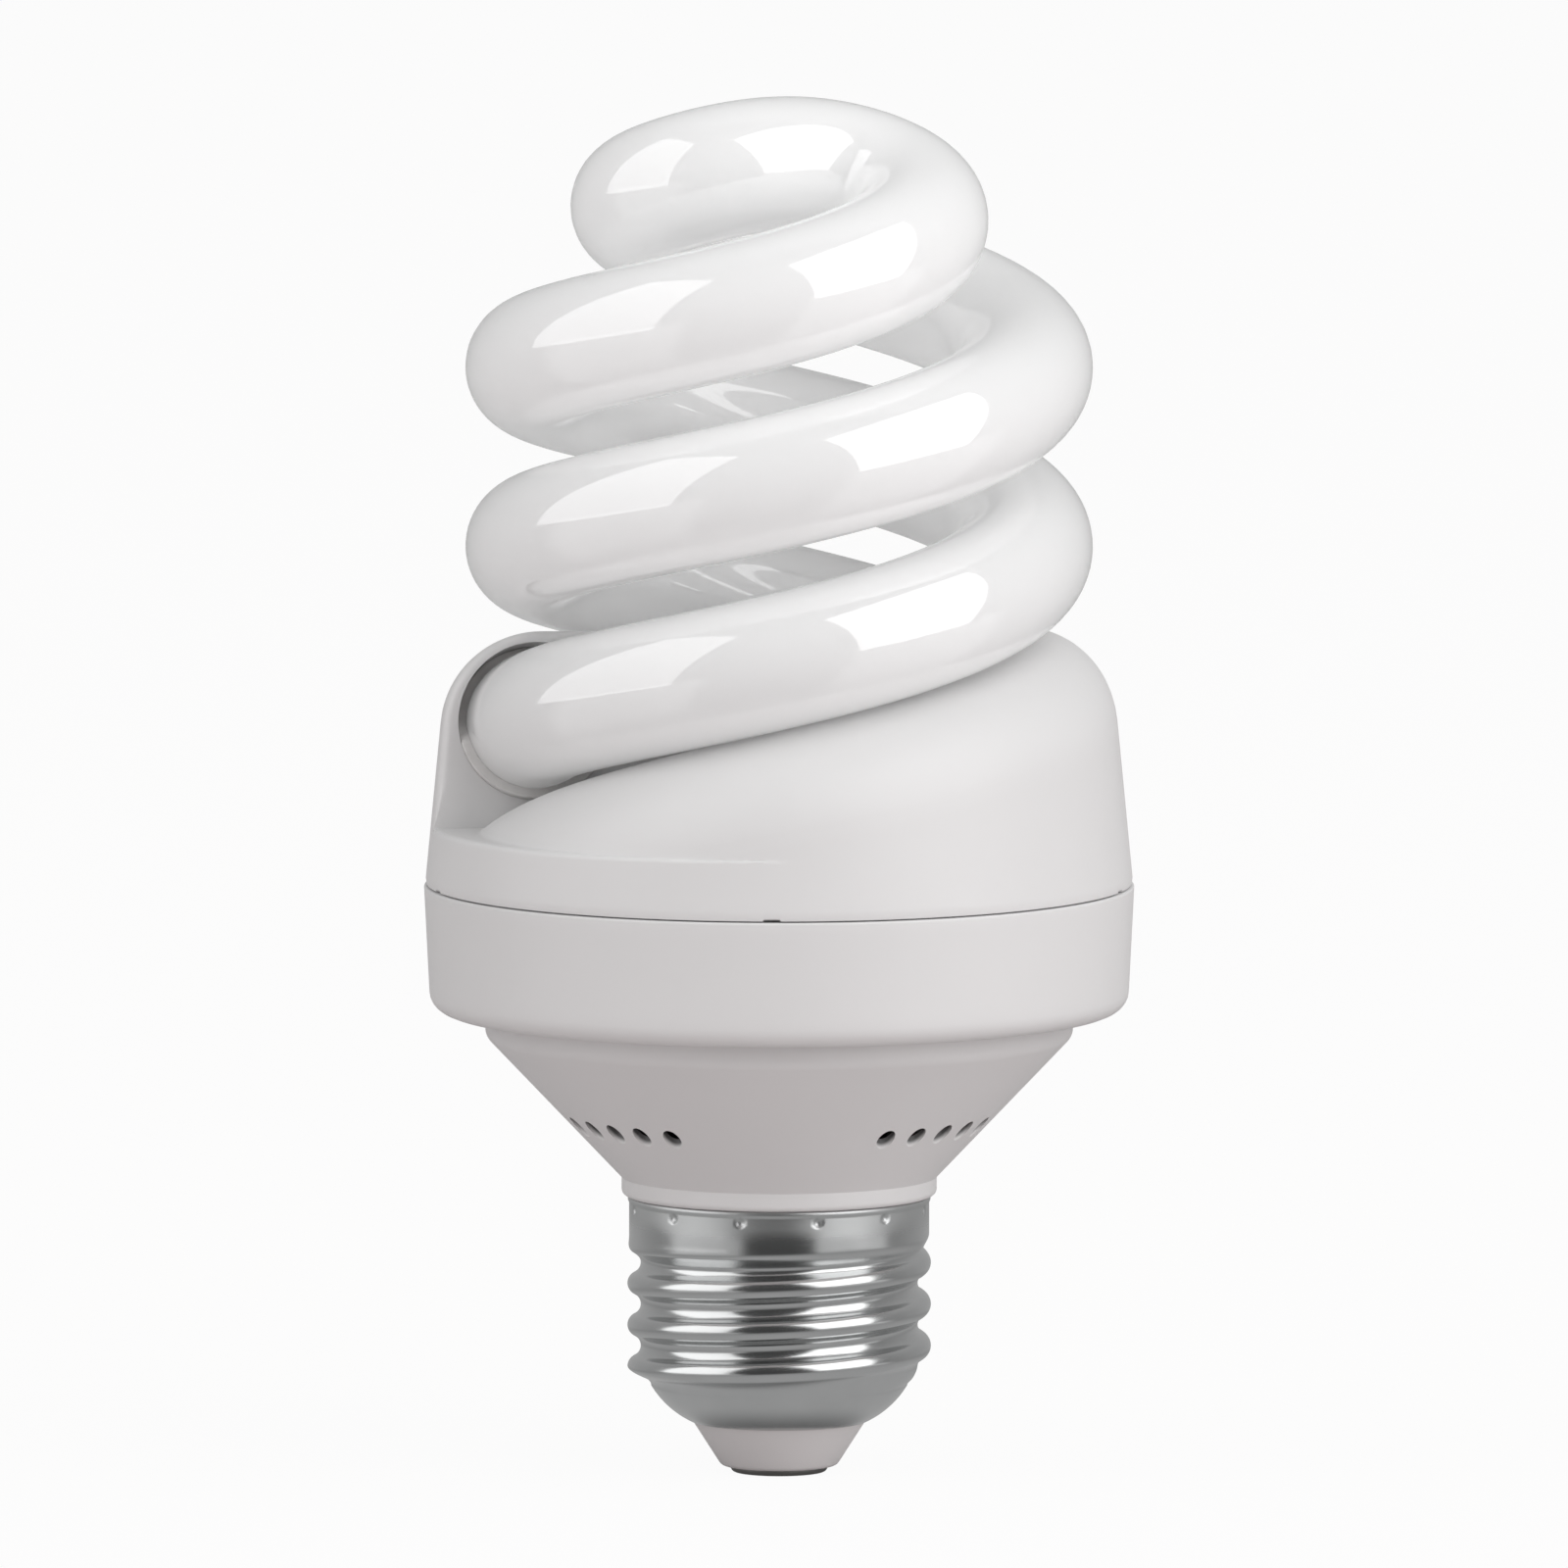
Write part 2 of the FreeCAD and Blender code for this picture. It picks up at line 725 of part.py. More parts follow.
def axial_part(x, y, along, body_d, body_l, waist_d=None):
    """A part with a lead at each end, lying just under the board along the given heading."""
    z = board_z - axial_stand - body_d / 2
    centre = Vector(x, y, z)
    body = rod(centre - along * (body_l / 2), centre + along * (body_l / 2), body_d)
    ends = [e for e in body.Edges if e.Curve.TypeId == "Part::GeomCircle"]
    body = body.makeFillet(axial_edge, ends)
    if waist_d is not None:
        low = centre - along * (body_l / 4)
        high = centre + along * (body_l / 4)
        sleeve = rod(low, high, 2 * body_d)
        waist = rod(low, high, waist_d)
        body = body.cut(sleeve).fuse(waist)
    legs = []
    for side in (-1, 1):
        near = centre + along * (side * body_l / 4)
        corner = centre + along * (side * axial_span)
        tip = Vector(corner.x, corner.y, board_top + lead_tail)
        legs.append(swept(bent_wire([near, corner, tip], [0, lead_d, 0]), lead_d))
        drilled.append((corner.x, corner.y, lead_d))
    return body.fuse(legs)


def drum_choke(x, y):
    low = board_z - drum_h
    r = drum_d / 2
    core = turned([
        (0, low, 0),
        (r, low, drum_edge),
        (r, low + drum_flange, 0),
        (drum_waist_d / 2, low + drum_flange, 0),
        (drum_waist_d / 2, board_z - drum_flange, 0),
        (r, board_z - drum_flange, 0),
        (r, board_z, 0),
        (0, board_z, 0),
    ])
    coil = disc(drum_wire_d / 2, low + drum_flange + seal_clear,
                drum_h - 2 * drum_flange - 2 * seal_clear)
    coil = coil.cut(disc(drum_waist_d / 2 + seal_clear, low, drum_h))
    place = Vector(x, y, 0)
    core.translate(place)
    coil.translate(place)
    half = drum_waist_d / 2
    core = core.fuse([lead(x - half, y, board_z - drum_flange / 2),
                      lead(x + half, y, board_z - drum_flange / 2)])
    return core, coil


def disc_part(x, y, d, thick):
    """A coated disc standing on its edge under the board, its face towards the wall."""
    centre = Vector(x, y, board_z - axial_stand - d / 2)
    body = rod(centre - Vector(thick / 2, 0, 0), centre + Vector(thick / 2, 0, 0), d)
    ends = [e for e in body.Edges if e.Curve.TypeId == "Part::GeomCircle"]
    body = body.makeFillet(disc_edge, ends)
    half = d / 4
    return body.fuse([lead(x, y - half, centre.z), lead(x, y + half, centre.z)])


def make_posts():
    posts = []
    for angle in post_angles:
        spot = at(post_ring_r, angle, board_z)
        post = Part.makeBox(post_side, post_side, board_t + post_h,
                            spot - Vector(post_side / 2, post_side / 2, 0))
        posts.extend([post, half_turn(post)])
        for turn in (0, 180):
            hole = at(post_ring_r, angle + turn, 0)
            drilled.append((hole.x, hole.y, post_side * math.sqrt(2)))
    return posts


def tube_leads():
    """Two lead wires from each tube end, each running down beside its post."""
    end = strand_point(-tube_tail_angle)
    back = strand_heading(-tube_tail_angle) * -1
    across = back.cross(up).normalize()
    wires = []
    for side, angle in ((-1, post_angles[1]), (1, post_angles[0])):
        start = end + across * (side * tube_lead_gap)
        out = start + back * tube_lead_run
        outward = at(1, angle, 0)
        beside = outward * (post_ring_r - post_side / 2 - tube_lead_d)
        over = Vector(beside.x, beside.y, out.z - tube_lead_run)
        foot = Vector(beside.x, beside.y, board_top + lead_tail)
        path = bent_wire([start, out, over, foot], [0, tube_lead_bend, tube_lead_bend, 0])
        wires.append(swept(path, tube_lead_d))
    return wires


# Supply wires from the board to the cap
def line_wire_inner_r():
    return neck_bore_d / 2 - hole_room - supply_wire_d / 2


def line_wire_outer_r():
    return line_wire_inner_r() + 2 * wire_bend


def make_line_wire():
    """Down inside the neck, round its lower edge and up the groove against the shell."""
    turn_z = neck_end_z - hole_room - supply_wire_d / 2
    inner = line_wire_inner_r()
    outer = line_wire_outer_r()
    drilled.append((0, inner, supply_wire_d))
    points = [Vector(0, inner, board_top + lead_tail), Vector(0, inner, turn_z),
              Vector(0, outer, turn_z), Vector(0, outer, turn_z + line_wire_rise)]
    bend = wire_bend - seal_clear
    return swept(bent_wire(points, [0, bend, bend, 0]), supply_wire_d)


def make_contact_wire():
    """Down past the capacitor, over to the axis and into the eyelet."""
    off = contact_wire_ring_d / 2
    drilled.append((0, -off, supply_wire_d))
    points = [Vector(0, -off, board_top + lead_tail), Vector(0, -off, contact_wire_drop_z),
              Vector(0, 0, contact_wire_drop_z - off), Vector(0, 0, eyelet_floor)]
    return swept(bent_wire(points, [0, contact_wire_bend, contact_wire_bend, 0]), supply_wire_d)


def make_board():
    holes = [Part.makeCylinder(d / 2 + hole_room, board_t, Vector(x, y, board_z))
             for x, y, d in drilled]
    return disc(board_r, board_z, board_t).cut(holes)


along_x = Vector(1, 0, 0)
along_y = Vector(0, 1, 0)
film_x = -(bulk_d / 2 + 3 * part_gap + film_size[0] / 2)
film_y = -(part_gap + film_size[1] / 2)
transistor_y = transistor_inset - board_r
transistor_x = (transistor_size[0] + part_gap) / 2
coupling_at = (choke_x + part_gap, -(core_w / 2 + 2 * part_gap + coupling_size[1] / 2))
diode_y = core_w / 2 + 2 * part_gap + diode_d / 2
resistor_y = transistor_y - transistor_size[1] / 2 - part_gap - resistor_d
drum_y = line_wire_inner_r() + part_gap + drum_d / 2

save("centre_contact", make_contact())
save("cap_insulator", make_insulator())
save("screw_shell", make_shell())
save("lower_housing", make_housing())
save("tube_holder", make_holder())
save("spiral_tube", make_tube())
save("tube_seals", *make_seals())

save("bulk_capacitor", bulk_capacitor())
core_lower, core_upper, choke_bobbin, choke_winding = choke_parts()
save("choke_core_lower", core_lower)
save("choke_core_upper", core_upper)
save("choke_bobbin", choke_bobbin)
save("choke_winding", choke_winding)
drive_core, drive_loops = drive_parts()
save("drive_core", drive_core)
save("drive_windings", *drive_loops)
save("resonant_capacitor", boxed_capacitor(film_x, film_y, film_size, film_pitch, False))
save("coupling_capacitor", boxed_capacitor(*coupling_at, coupling_size, coupling_pitch, True))
save("high_transistor", transistor(-transistor_x, transistor_y))
save("low_transistor", transistor(transistor_x, transistor_y))
save("rectifier_diodes", *[axial_part(diode_x, diode_y + diode_row * i, along_x, diode_d, diode_l)
                           for i in range(diode_count)])
resistor_spots = [(0, resistor_y), (0, resistor_y - diode_row),
                  (resistor_side_x, resistor_y), (-resistor_side_x, resistor_y)]
save("resistors", *[axial_part(x, y, along_x, resistor_d, resistor_l, resistor_waist_d)
                    for x, y in resistor_spots])
save("fuse_resistor", axial_part(fuse_x, diode_y + diode_d, along_y, fuse_d, fuse_l))
save("trigger_diac", axial_part(diac_x, drum_y + drum_d, along_x, diac_d, diac_l))
drum_core, drum_coil = drum_choke(drum_x, drum_y)
save("filter_choke_core", drum_core)
save("filter_choke_winding", drum_coil)
save("start_thermistor", disc_part(film_x - film_size[0] / 2 - part_gap - disc_t, film_y / 2,
                                   disc_d, disc_t))
save("snubber_capacitor", disc_part(choke_x + core_depth + part_gap, 0, snubber_d, disc_t))
save("wrap_posts", *make_posts())
lead_wires = tube_leads()
save("tube_leads", *(lead_wires + [half_turn(wire) for wire in lead_wires]))
save("line_wire", make_line_wire())
save("contact_wire", make_contact_wire())
save("circuit_board", make_board())
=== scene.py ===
import json
import math
import bmesh
import bpy
import numpy as np
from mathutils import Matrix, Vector


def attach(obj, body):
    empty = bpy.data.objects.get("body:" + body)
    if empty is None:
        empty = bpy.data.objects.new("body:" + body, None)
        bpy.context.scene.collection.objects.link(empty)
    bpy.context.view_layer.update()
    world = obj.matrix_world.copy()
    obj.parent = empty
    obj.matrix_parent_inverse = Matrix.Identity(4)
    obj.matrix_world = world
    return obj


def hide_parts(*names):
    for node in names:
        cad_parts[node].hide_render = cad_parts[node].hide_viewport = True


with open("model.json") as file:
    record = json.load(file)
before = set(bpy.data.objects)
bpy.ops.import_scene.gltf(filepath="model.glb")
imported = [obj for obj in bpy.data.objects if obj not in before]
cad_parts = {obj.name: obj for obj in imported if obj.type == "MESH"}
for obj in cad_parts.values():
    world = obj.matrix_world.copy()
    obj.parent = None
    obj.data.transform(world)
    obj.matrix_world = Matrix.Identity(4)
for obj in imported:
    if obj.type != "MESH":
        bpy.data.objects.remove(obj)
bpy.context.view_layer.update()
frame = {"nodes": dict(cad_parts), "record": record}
scene = bpy.context.scene
scene.view_settings.view_transform = "Standard"
mm = 0.001
print("frame loaded:", len(frame["nodes"]), "nodes")


# sockets with arithmetic
class Wire:
    def __init__(self, sheet, socket):
        self.sheet = sheet
        self.socket = socket

    def __add__(self, other):
        return self.sheet.math("ADD", self, other)

    def __sub__(self, other):
        return self.sheet.math("SUBTRACT", self, other)

    def __rsub__(self, other):
        return self.sheet.math("SUBTRACT", other, self)

    def __mul__(self, other):
        return self.sheet.math("MULTIPLY", self, other)

    def __truediv__(self, other):
        return self.sheet.math("DIVIDE", self, other)

    def __rtruediv__(self, other):
        return self.sheet.math("DIVIDE", other, self)

    def __mod__(self, other):
        return self.sheet.math("FLOORED_MODULO", self, other)

    __radd__ = __add__
    __rmul__ = __mul__


# one node tree, for shaders and for geometry
class Sheet:
    def __init__(self, tree):
        self.tree = tree

    def add(self, kind, settings=None, inputs=None, output=0):
        node = self.tree.nodes.new(kind)
        for key, value in (settings or {}).items():
            setattr(node, key, value)
        for key, value in (inputs or {}).items():
            self.plug(node.inputs[key], value)
        return Wire(self, node.outputs[output])

    def plug(self, socket, value):
        if isinstance(value, Wire):
            self.tree.links.new(value.socket, socket)
        else:
            socket.default_value = value

    def math(self, operation, *values):
        return self.add("ShaderNodeMath", {"operation": operation}, dict(enumerate(values)))

    def clamped(self, value):
        return self.add("ShaderNodeClamp", {}, {"Value": value})

    def smoothStep(self, value, low, high):
        settings = {"interpolation_type": "SMOOTHSTEP"}
        inputs = {"Value": value, "From Min": low, "From Max": high}
        return self.add("ShaderNodeMapRange", settings, inputs)

    def mixColor(self, factor, first, second):
        settings = {"data_type": "RGBA"}
        return self.add("ShaderNodeMix", settings, {0: factor, 6: first, 7: second}, 2)

    def mixShader(self, factor, first, second):
        return self.add("ShaderNodeMixShader", {}, {0: factor, 1: first, 2: second})

    def vector(self, x, y, z):
        return self.add("ShaderNodeCombineXYZ", {}, {0: x, 1: y, 2: z})

    def parts(self, vector):
        first = self.add("ShaderNodeSeparateXYZ", {}, {0: vector})
        return [Wire(self, socket) for socket in first.socket.node.outputs]

    def place(self, space="Object"):
        return self.add("ShaderNodeTexCoord", {}, {}, space)

    def rays(self):
        # 1 for rays from the camera, also through glass, and 1 for mirrored rays
        outs = self.add("ShaderNodeLightPath").socket.node.outputs
        camera, through, mirror = [Wire(self, outs[name]) for name in
                                   ("Is Camera Ray", "Is Transmission Ray", "Is Glossy Ray")]
        return self.clamped(camera + through), mirror


# stations up the axis and sizes that several pieces share, in mm
bulb = {
    "contactHeight": 0.55,
    "insulatorHeight": 3.9,
    "bowlHeight": 3.1,
    "threadHeight": 12.6,
    "collarHeight": 4.0,
    "ringHeight": 1.6,
    "ringDiameter": 27.3,
    "coneTopDiameter": 50.9,
    "coneHalfAngle": 43.6,
    "stepHeight": 2.05,
    "bandHeight": 11.0,
    "ledgeHeight": 5.25,
    "coilStartHeight": 13.85,
    "coilDiameter": 42.56,
    "coilPitch": 31.15,
    "tubeDiameter": 11.7,
    "riserAngle": 7.5,
    "socketRoom": 0.85,
}
mouthZ = bulb["contactHeight"] + bulb["insulatorHeight"]
bowlTopZ = mouthZ + bulb["bowlHeight"]
collarZ = bowlTopZ + bulb["threadHeight"]
rimZ = collarZ + bulb["collarHeight"]
coneZ = rimZ + bulb["ringHeight"]
coneSlope = math.tan(math.radians(bulb["coneHalfAngle"]))
coneTopZ = coneZ + (bulb["coneTopDiameter"] - bulb["ringDiameter"]) / 2 / coneSlope
bandZ = coneTopZ + bulb["stepHeight"]
seamZ = bandZ + bulb["bandHeight"]
ledgeZ = seamZ + bulb["ledgeHeight"]
coilZ = seamZ + bulb["coilStartHeight"]
coilR = bulb["coilDiameter"] / 2
tubeR = bulb["tubeDiameter"] / 2
# points closer than this become one, in mm
weldUnder = {"turned": 0.001, "swept": 0.0001, "holder": 0.002}
# edges that turn by more than this stay sharp, in degrees
sharpOver = {"tube": 40, "shell": 50, "moulding": 32, "contact": 32, "cement": 35}


def strandZ(turn):
    return coilZ + bulb["coilPitch"] * turn / 360


def newPiece(name, verts, faces):
    mesh = bpy.data.meshes.new(name)
    mesh.from_pydata([tuple(c * mm for c in v) for v in verts], [], faces)
    piece = bpy.data.objects.new(name, mesh)
    scene.collection.objects.link(piece)
    return piece


def weld(piece, distance):
    work = bmesh.new()
    work.from_mesh(piece.data)
    bmesh.ops.remove_doubles(work, verts=work.verts, dist=distance * mm)
    bmesh.ops.dissolve_degenerate(work, edges=work.edges, dist=distance * mm)
    bmesh.ops.recalc_face_normals(work, faces=work.faces)
    work.to_mesh(piece.data)
    work.free()


def smooth(piece, sharpAngle):
    piece.data.shade_smooth()
    piece.data.set_sharp_from_angle(angle=math.radians(sharpAngle))


def bake(piece):
    # the evaluated shape becomes the piece's own plain mesh
    graph = bpy.context.evaluated_depsgraph_get()
    made = bpy.data.meshes.new_from_object(piece.evaluated_get(graph), depsgraph=graph)
    piece.modifiers.clear()
    old = piece.data
    piece.data = made
    bpy.data.meshes.remove(old)


def finishPiece(piece, material, slot, *nodes):
    piece.data.materials.clear()
    piece.data.materials.append(material)
    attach(piece, "root")
    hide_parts(*nodes)
    print("made", piece.name, len(piece.data.polygons), "faces")


# a geometry tree with named inputs: returns the sheet, the input wires and the socket identifiers
def geometrySheet(name, inputs):
    tree = bpy.data.node_groups.new(name, "GeometryNodeTree")
    face = tree.interface
    face.new_socket("Geometry", in_out="INPUT", socket_type="NodeSocketGeometry")
    face.new_socket("Geometry", in_out="OUTPUT", socket_type="NodeSocketGeometry")
    sockets = {}
    for label, value in inputs.items():
        kind = "NodeSocketInt" if isinstance(value, int) else "NodeSocketFloat"
        sockets[label] = face.new_socket(label, in_out="INPUT", socket_type=kind).identifier
    sheet = Sheet(tree)
    entry = tree.nodes.new("NodeGroupInput")
    wires = {label: Wire(sheet, entry.outputs[label]) for label in ["Geometry", *inputs]}
    return sheet, wires, sockets


def closeSheet(sheet, geometry, material):
    real = sheet.add("GeometryNodeRealizeInstances", {}, {"Geometry": geometry})
    painted = sheet.add("GeometryNodeSetMaterial", {}, {"Geometry": real, "Material": material})
    exitNode = sheet.tree.nodes.new("NodeGroupOutput")
    sheet.plug(exitNode.inputs["Geometry"], painted)


def runSheet(piece, sheet, sockets, values):
    modifier = piece.modifiers.new("nodes", "NODES")
    modifier.node_group = sheet.tree
    for label, identifier in sockets.items():
        modifier[identifier] = values[label]
    bake(piece)


def roundedLoop(corners, steps=6):
    # corners are (radius, height, rounding); each rounding becomes a short arc
    loop = []
    count = len(corners)
    for i, (r, z, rounding) in enumerate(corners):
        here = Vector((r, z))
        if rounding == 0:
            loop.append(here)
            continue
        back = (Vector(corners[i - 1][:2]) - here).normalized()
        ahead = (Vector(corners[(i + 1) % count][:2]) - here).normalized()
        half = back.angle(ahead) / 2
        middle = here + (back + ahead).normalized() * (rounding / math.sin(half))
        start = here + back * (rounding / math.tan(half)) - middle
        sweep = start.angle_signed(here + ahead * (rounding / math.tan(half)) - middle)
        for k in range(steps + 1):
            a = -sweep * k / steps
            turned = Vector((start.x * math.cos(a) - start.y * math.sin(a),
                             start.x * math.sin(a) + start.y * math.cos(a)))
            loop.append(middle + turned)
    return loop


def splitLong(loop, longest):
    # long straight runs get extra points, so that faces stay small
    points = []
    for i, here in enumerate(loop):
        after = loop[(i + 1) % len(loop)]
        cuts = max(1, math.ceil((after - here).length / longest))
        points += [here.lerp(after, k / cuts) for k in range(cuts)]
    return points


def lathe(name, loop, segments, marks=0, crowding=0.0):
    # columns crowd together at the marks, the first of them half a sector from the x axis
    verts = []
    for k in range(segments):
        a = 2 * math.pi * k / segments
        if marks:
            a += crowding / marks * math.sin(marks * a)
        verts += [(p.x * math.cos(a), p.x * math.sin(a), p.y) for p in loop]
    rows = len(loop)
    faces = []
    for k in range(segments):
        for j in range(rows):
            a, b = k * rows, (k + 1) % segments * rows
            n = (j + 1) % rows
            faces.append((a + j, b + j, b + n, a + n))
    piece = newPiece(name, verts, faces)
    weld(piece, weldUnder["turned"])
    return piece


def makeMaterial(name, settings):
    material = bpy.data.materials.new(name)
    material.use_nodes = True
    sheet = Sheet(material.node_tree)
    shader = material.node_tree.nodes["Principled BSDF"]
    for key, value in settings.items():
        shader.inputs[key].default_value = value
    return material, sheet, shader


def objectNoise(sheet, scale, detail, stretch=(1, 1, 1)):
    place = sheet.add("ShaderNodeMapping", {}, {"Vector": sheet.place(), "Scale": stretch})
    inputs = {"Vector": place, "Scale": scale, "Detail": detail}
    return sheet.add("ShaderNodeTexNoise", {}, inputs, "Fac")


def grey(level, warmth=0.0):
    return (level * (1 + warmth), level, level, 1)


def addBump(sheet, shader, height, strength, distance):
    inputs = {"Height": height, "Strength": strength, "Distance": distance * mm}
    sheet.plug(shader.inputs["Normal"], sheet.add("ShaderNodeBump", {}, inputs))


# white coating behind clear glass: hardly any texture, faint clouds, mirror-like skin
glassLook = {
    "level": 0.985,
    "cloud": 0.008,
    "cloudScale": 60.0,
    "cloudDetail": 3.0,
    "roughness": 0.04,
    "cloudRoughness": 0.06,
    "index": 1.85,
    "skinRoughness": 0.02,
    "wave": 0.006,
    "waveScale": 35.0,
    "waveDetail": 2.0,
    "waveStrength": 0.25,
    "through": 0.36,
}


def coatedGlass():
    skin = {"IOR": glassLook["index"], "Coat Weight": 1.0, "Coat IOR": glassLook["index"],
            "Coat Roughness": glassLook["skinRoughness"]}
    material, sheet, shader = makeMaterial("coatedGlass", skin)
    clouds = objectNoise(sheet, glassLook["cloudScale"], glassLook["cloudDetail"])
    thick = grey(glassLook["level"] + glassLook["cloud"])
    thin = grey(glassLook["level"] - glassLook["cloud"])
    sheet.plug(shader.inputs["Base Color"], sheet.mixColor(clouds, thin, thick))
    sheet.plug(shader.inputs["Roughness"], clouds * glassLook["cloudRoughness"] + glassLook["roughness"])
    waves = objectNoise(sheet, glassLook["waveScale"], glassLook["waveDetail"])
    addBump(sheet, shader, waves, glassLook["waveStrength"], glassLook["wave"])
    # the coat is thin: part of the light goes through the wall
    passed = sheet.add("ShaderNodeBsdfTranslucent", {}, {"Color": thick})
    mixed = sheet.mixShader(glassLook["through"], Wire(sheet, shader.outputs[0]), passed)
    sheet.plug(sheet.tree.nodes["Material Output"].inputs["Surface"], mixed)
    return material


# off-white moulding with the fine sparked texture of its tool, and the dark grey used for painted shade
plasticLook = {"level": 0.66, "mottle": 0.012, "warmth": 0.006, "mottleScale": 90.0, "index": 1.49,
               "grain": 1500.0, "grainStrength": 0.22, "grainHeight": 0.02, "roughness": 0.36,
               "grainRoughness": 0.12, "shade": 0.10, "mottleDetail": 4.0, "grainDetail": 2.0}
capLook = {"level": 0.61, "warmth": 0.02}


def mouldedPlastic(name, level, warmth, shade=None):
    material, sheet, shader = makeMaterial(name, {"IOR": plasticLook["index"]})
    mottle = objectNoise(sheet, plasticLook["mottleScale"], plasticLook["mottleDetail"])
    light = grey(level + plasticLook["mottle"], warmth)
    dark = grey(level - plasticLook["mottle"], warmth)
    color = sheet.mixColor(mottle, dark, light)
    # where a mask of painted shade is given, the colour darkens towards that dark grey
    if shade:
        color = sheet.mixColor(shade(sheet), color, grey(plasticLook["shade"], warmth))
    sheet.plug(shader.inputs["Base Color"], color)
    grain = objectNoise(sheet, plasticLook["grain"], plasticLook["grainDetail"])
    sheet.plug(shader.inputs["Roughness"], grain * plasticLook["grainRoughness"] + plasticLook["roughness"])
    addBump(sheet, shader, grain, plasticLook["grainStrength"], plasticLook["grainHeight"])
    return material


# rolled plated sheet: drawn lines round the axis and a slightly uneven polish
plateLook = {
    "level": 0.62,
    "spread": 0.05,
    "coolLight": -0.008,
    "coolDark": -0.016,
    "roughness": 0.13,
    "haze": 220.0,
    "hazeDetail": 4.0,
    "hazeRoughness": 0.10,
    "lines": 2600.0,
    "lineDetail": 2.0,
    "lineStretch": 0.04,
    "lineRoughness": 0.05,
    "lineStrength": 0.12,
    "lineHeight": 0.01,
    "brushed": 0.22,
    "brushedFrom": 3.0,
    "brushedTo": 1.2,
}


def nickelPlate():
    material, sheet, shader = makeMaterial("nickelPlate", {"Metallic": 1.0})
    stretch = (plateLook["lineStretch"], plateLook["lineStretch"], 1.0)
    lines = objectNoise(sheet, plateLook["lines"], plateLook["lineDetail"], stretch)
    haze = objectNoise(sheet, plateLook["haze"], plateLook["hazeDetail"])
    light = grey(plateLook["level"] + plateLook["spread"], plateLook["coolLight"])
    dark = grey(plateLook["level"] - plateLook["spread"], plateLook["coolDark"])
    sheet.plug(shader.inputs["Base Color"], sheet.mixColor(haze, dark, light))
    # the collar is duller than the rolled thread
    height = sheet.parts(sheet.place())[2] / mm
    collar = sheet.smoothStep(height, rimZ - plateLook["brushedFrom"], rimZ - plateLook["brushedTo"])
    worn = haze * plateLook["hazeRoughness"] + lines * plateLook["lineRoughness"]
    sheet.plug(shader.inputs["Roughness"], worn + collar * plateLook["brushed"] + plateLook["roughness"])
    addBump(sheet, shader, lines, plateLook["lineStrength"], plateLook["lineHeight"])
    return material


# small parts: colour, roughness, metallic, mottling scale
plainLooks = {
    "contact_metal": ((0.30, 0.29, 0.28), 0.38, 1.0, 500.0),
    "seal_cement": ((0.62, 0.61, 0.60), 0.75, 0.0, 700.0),
    "laminate": ((0.50, 0.38, 0.20), 0.55, 0.0, 300.0),
    "sleeve_black": ((0.04, 0.045, 0.05), 0.30, 0.0, 250.0),
    "ferrite": ((0.07, 0.07, 0.075), 0.62, 0.0, 900.0),
    "bobbin_plastic": ((0.06, 0.06, 0.06), 0.48, 0.0, 400.0),
    "enamel_copper": ((0.52, 0.20, 0.07), 0.28, 0.9, 800.0),
    "film_red": ((0.34, 0.07, 0.04), 0.25, 0.0, 200.0),
    "epoxy_black": ((0.035, 0.035, 0.035), 0.50, 0.0, 600.0),
    "resistor_coat": ((0.58, 0.45, 0.28), 0.32, 0.0, 500.0),
    "disc_coat": ((0.06, 0.22, 0.15), 0.27, 0.0, 300.0),
    "tinned_wire": ((0.60, 0.60, 0.61), 0.30, 1.0, 900.0),
    "wire_sleeve": ((0.70, 0.70, 0.66), 0.40, 0.0, 300.0),
}
plainSpread = {"dark": 0.88, "light": 1.10, "detail": 3.0, "roughness": 0.16, "bumpStrength": 0.15,
               "bumpHeight": 0.02}


def plainLook(slot):
    color, roughness, metallic, scale = plainLooks[slot]
    material, sheet, shader = makeMaterial(slot, {"Metallic": metallic})
    mottle = objectNoise(sheet, scale, plainSpread["detail"])
    low = tuple(c * plainSpread["dark"] for c in color) + (1,)
    high = tuple(min(1, c * plainSpread["light"]) for c in color) + (1,)
    sheet.plug(shader.inputs["Base Color"], sheet.mixColor(mottle, low, high))
    spread = plainSpread["roughness"]
    sheet.plug(shader.inputs["Roughness"], mottle * spread + (roughness - spread / 2))
    addBump(sheet, shader, mottle, plainSpread["bumpStrength"], plainSpread["bumpHeight"])
    return material


glass = coatedGlass()
bodyPlastic = mouldedPlastic("bodyPlastic", plasticLook["level"], plasticLook["warmth"])
capPlastic = mouldedPlastic("capPlastic", capLook["level"], capLook["warmth"])
plate = nickelPlate()
print("materials ready")


# glass spiral: both strands and the bridge follow one rule along a line of points
spiral = {
    "Points": 620,
    "Sides": 64,
    "Bridge Share": 0.23,
    "Coil Turn": 360.0,
    "Tail Turn": 13.0,
    "Bridge Turn": 200.0,
    "Bridge Rise": 17.6,
    "Bridge End Slope": 18.0,
    "Coil Radius": coilR,
    "Coil Pitch": bulb["coilPitch"],
    "Start Height": coilZ,
    "Tube Radius": tubeR,
}


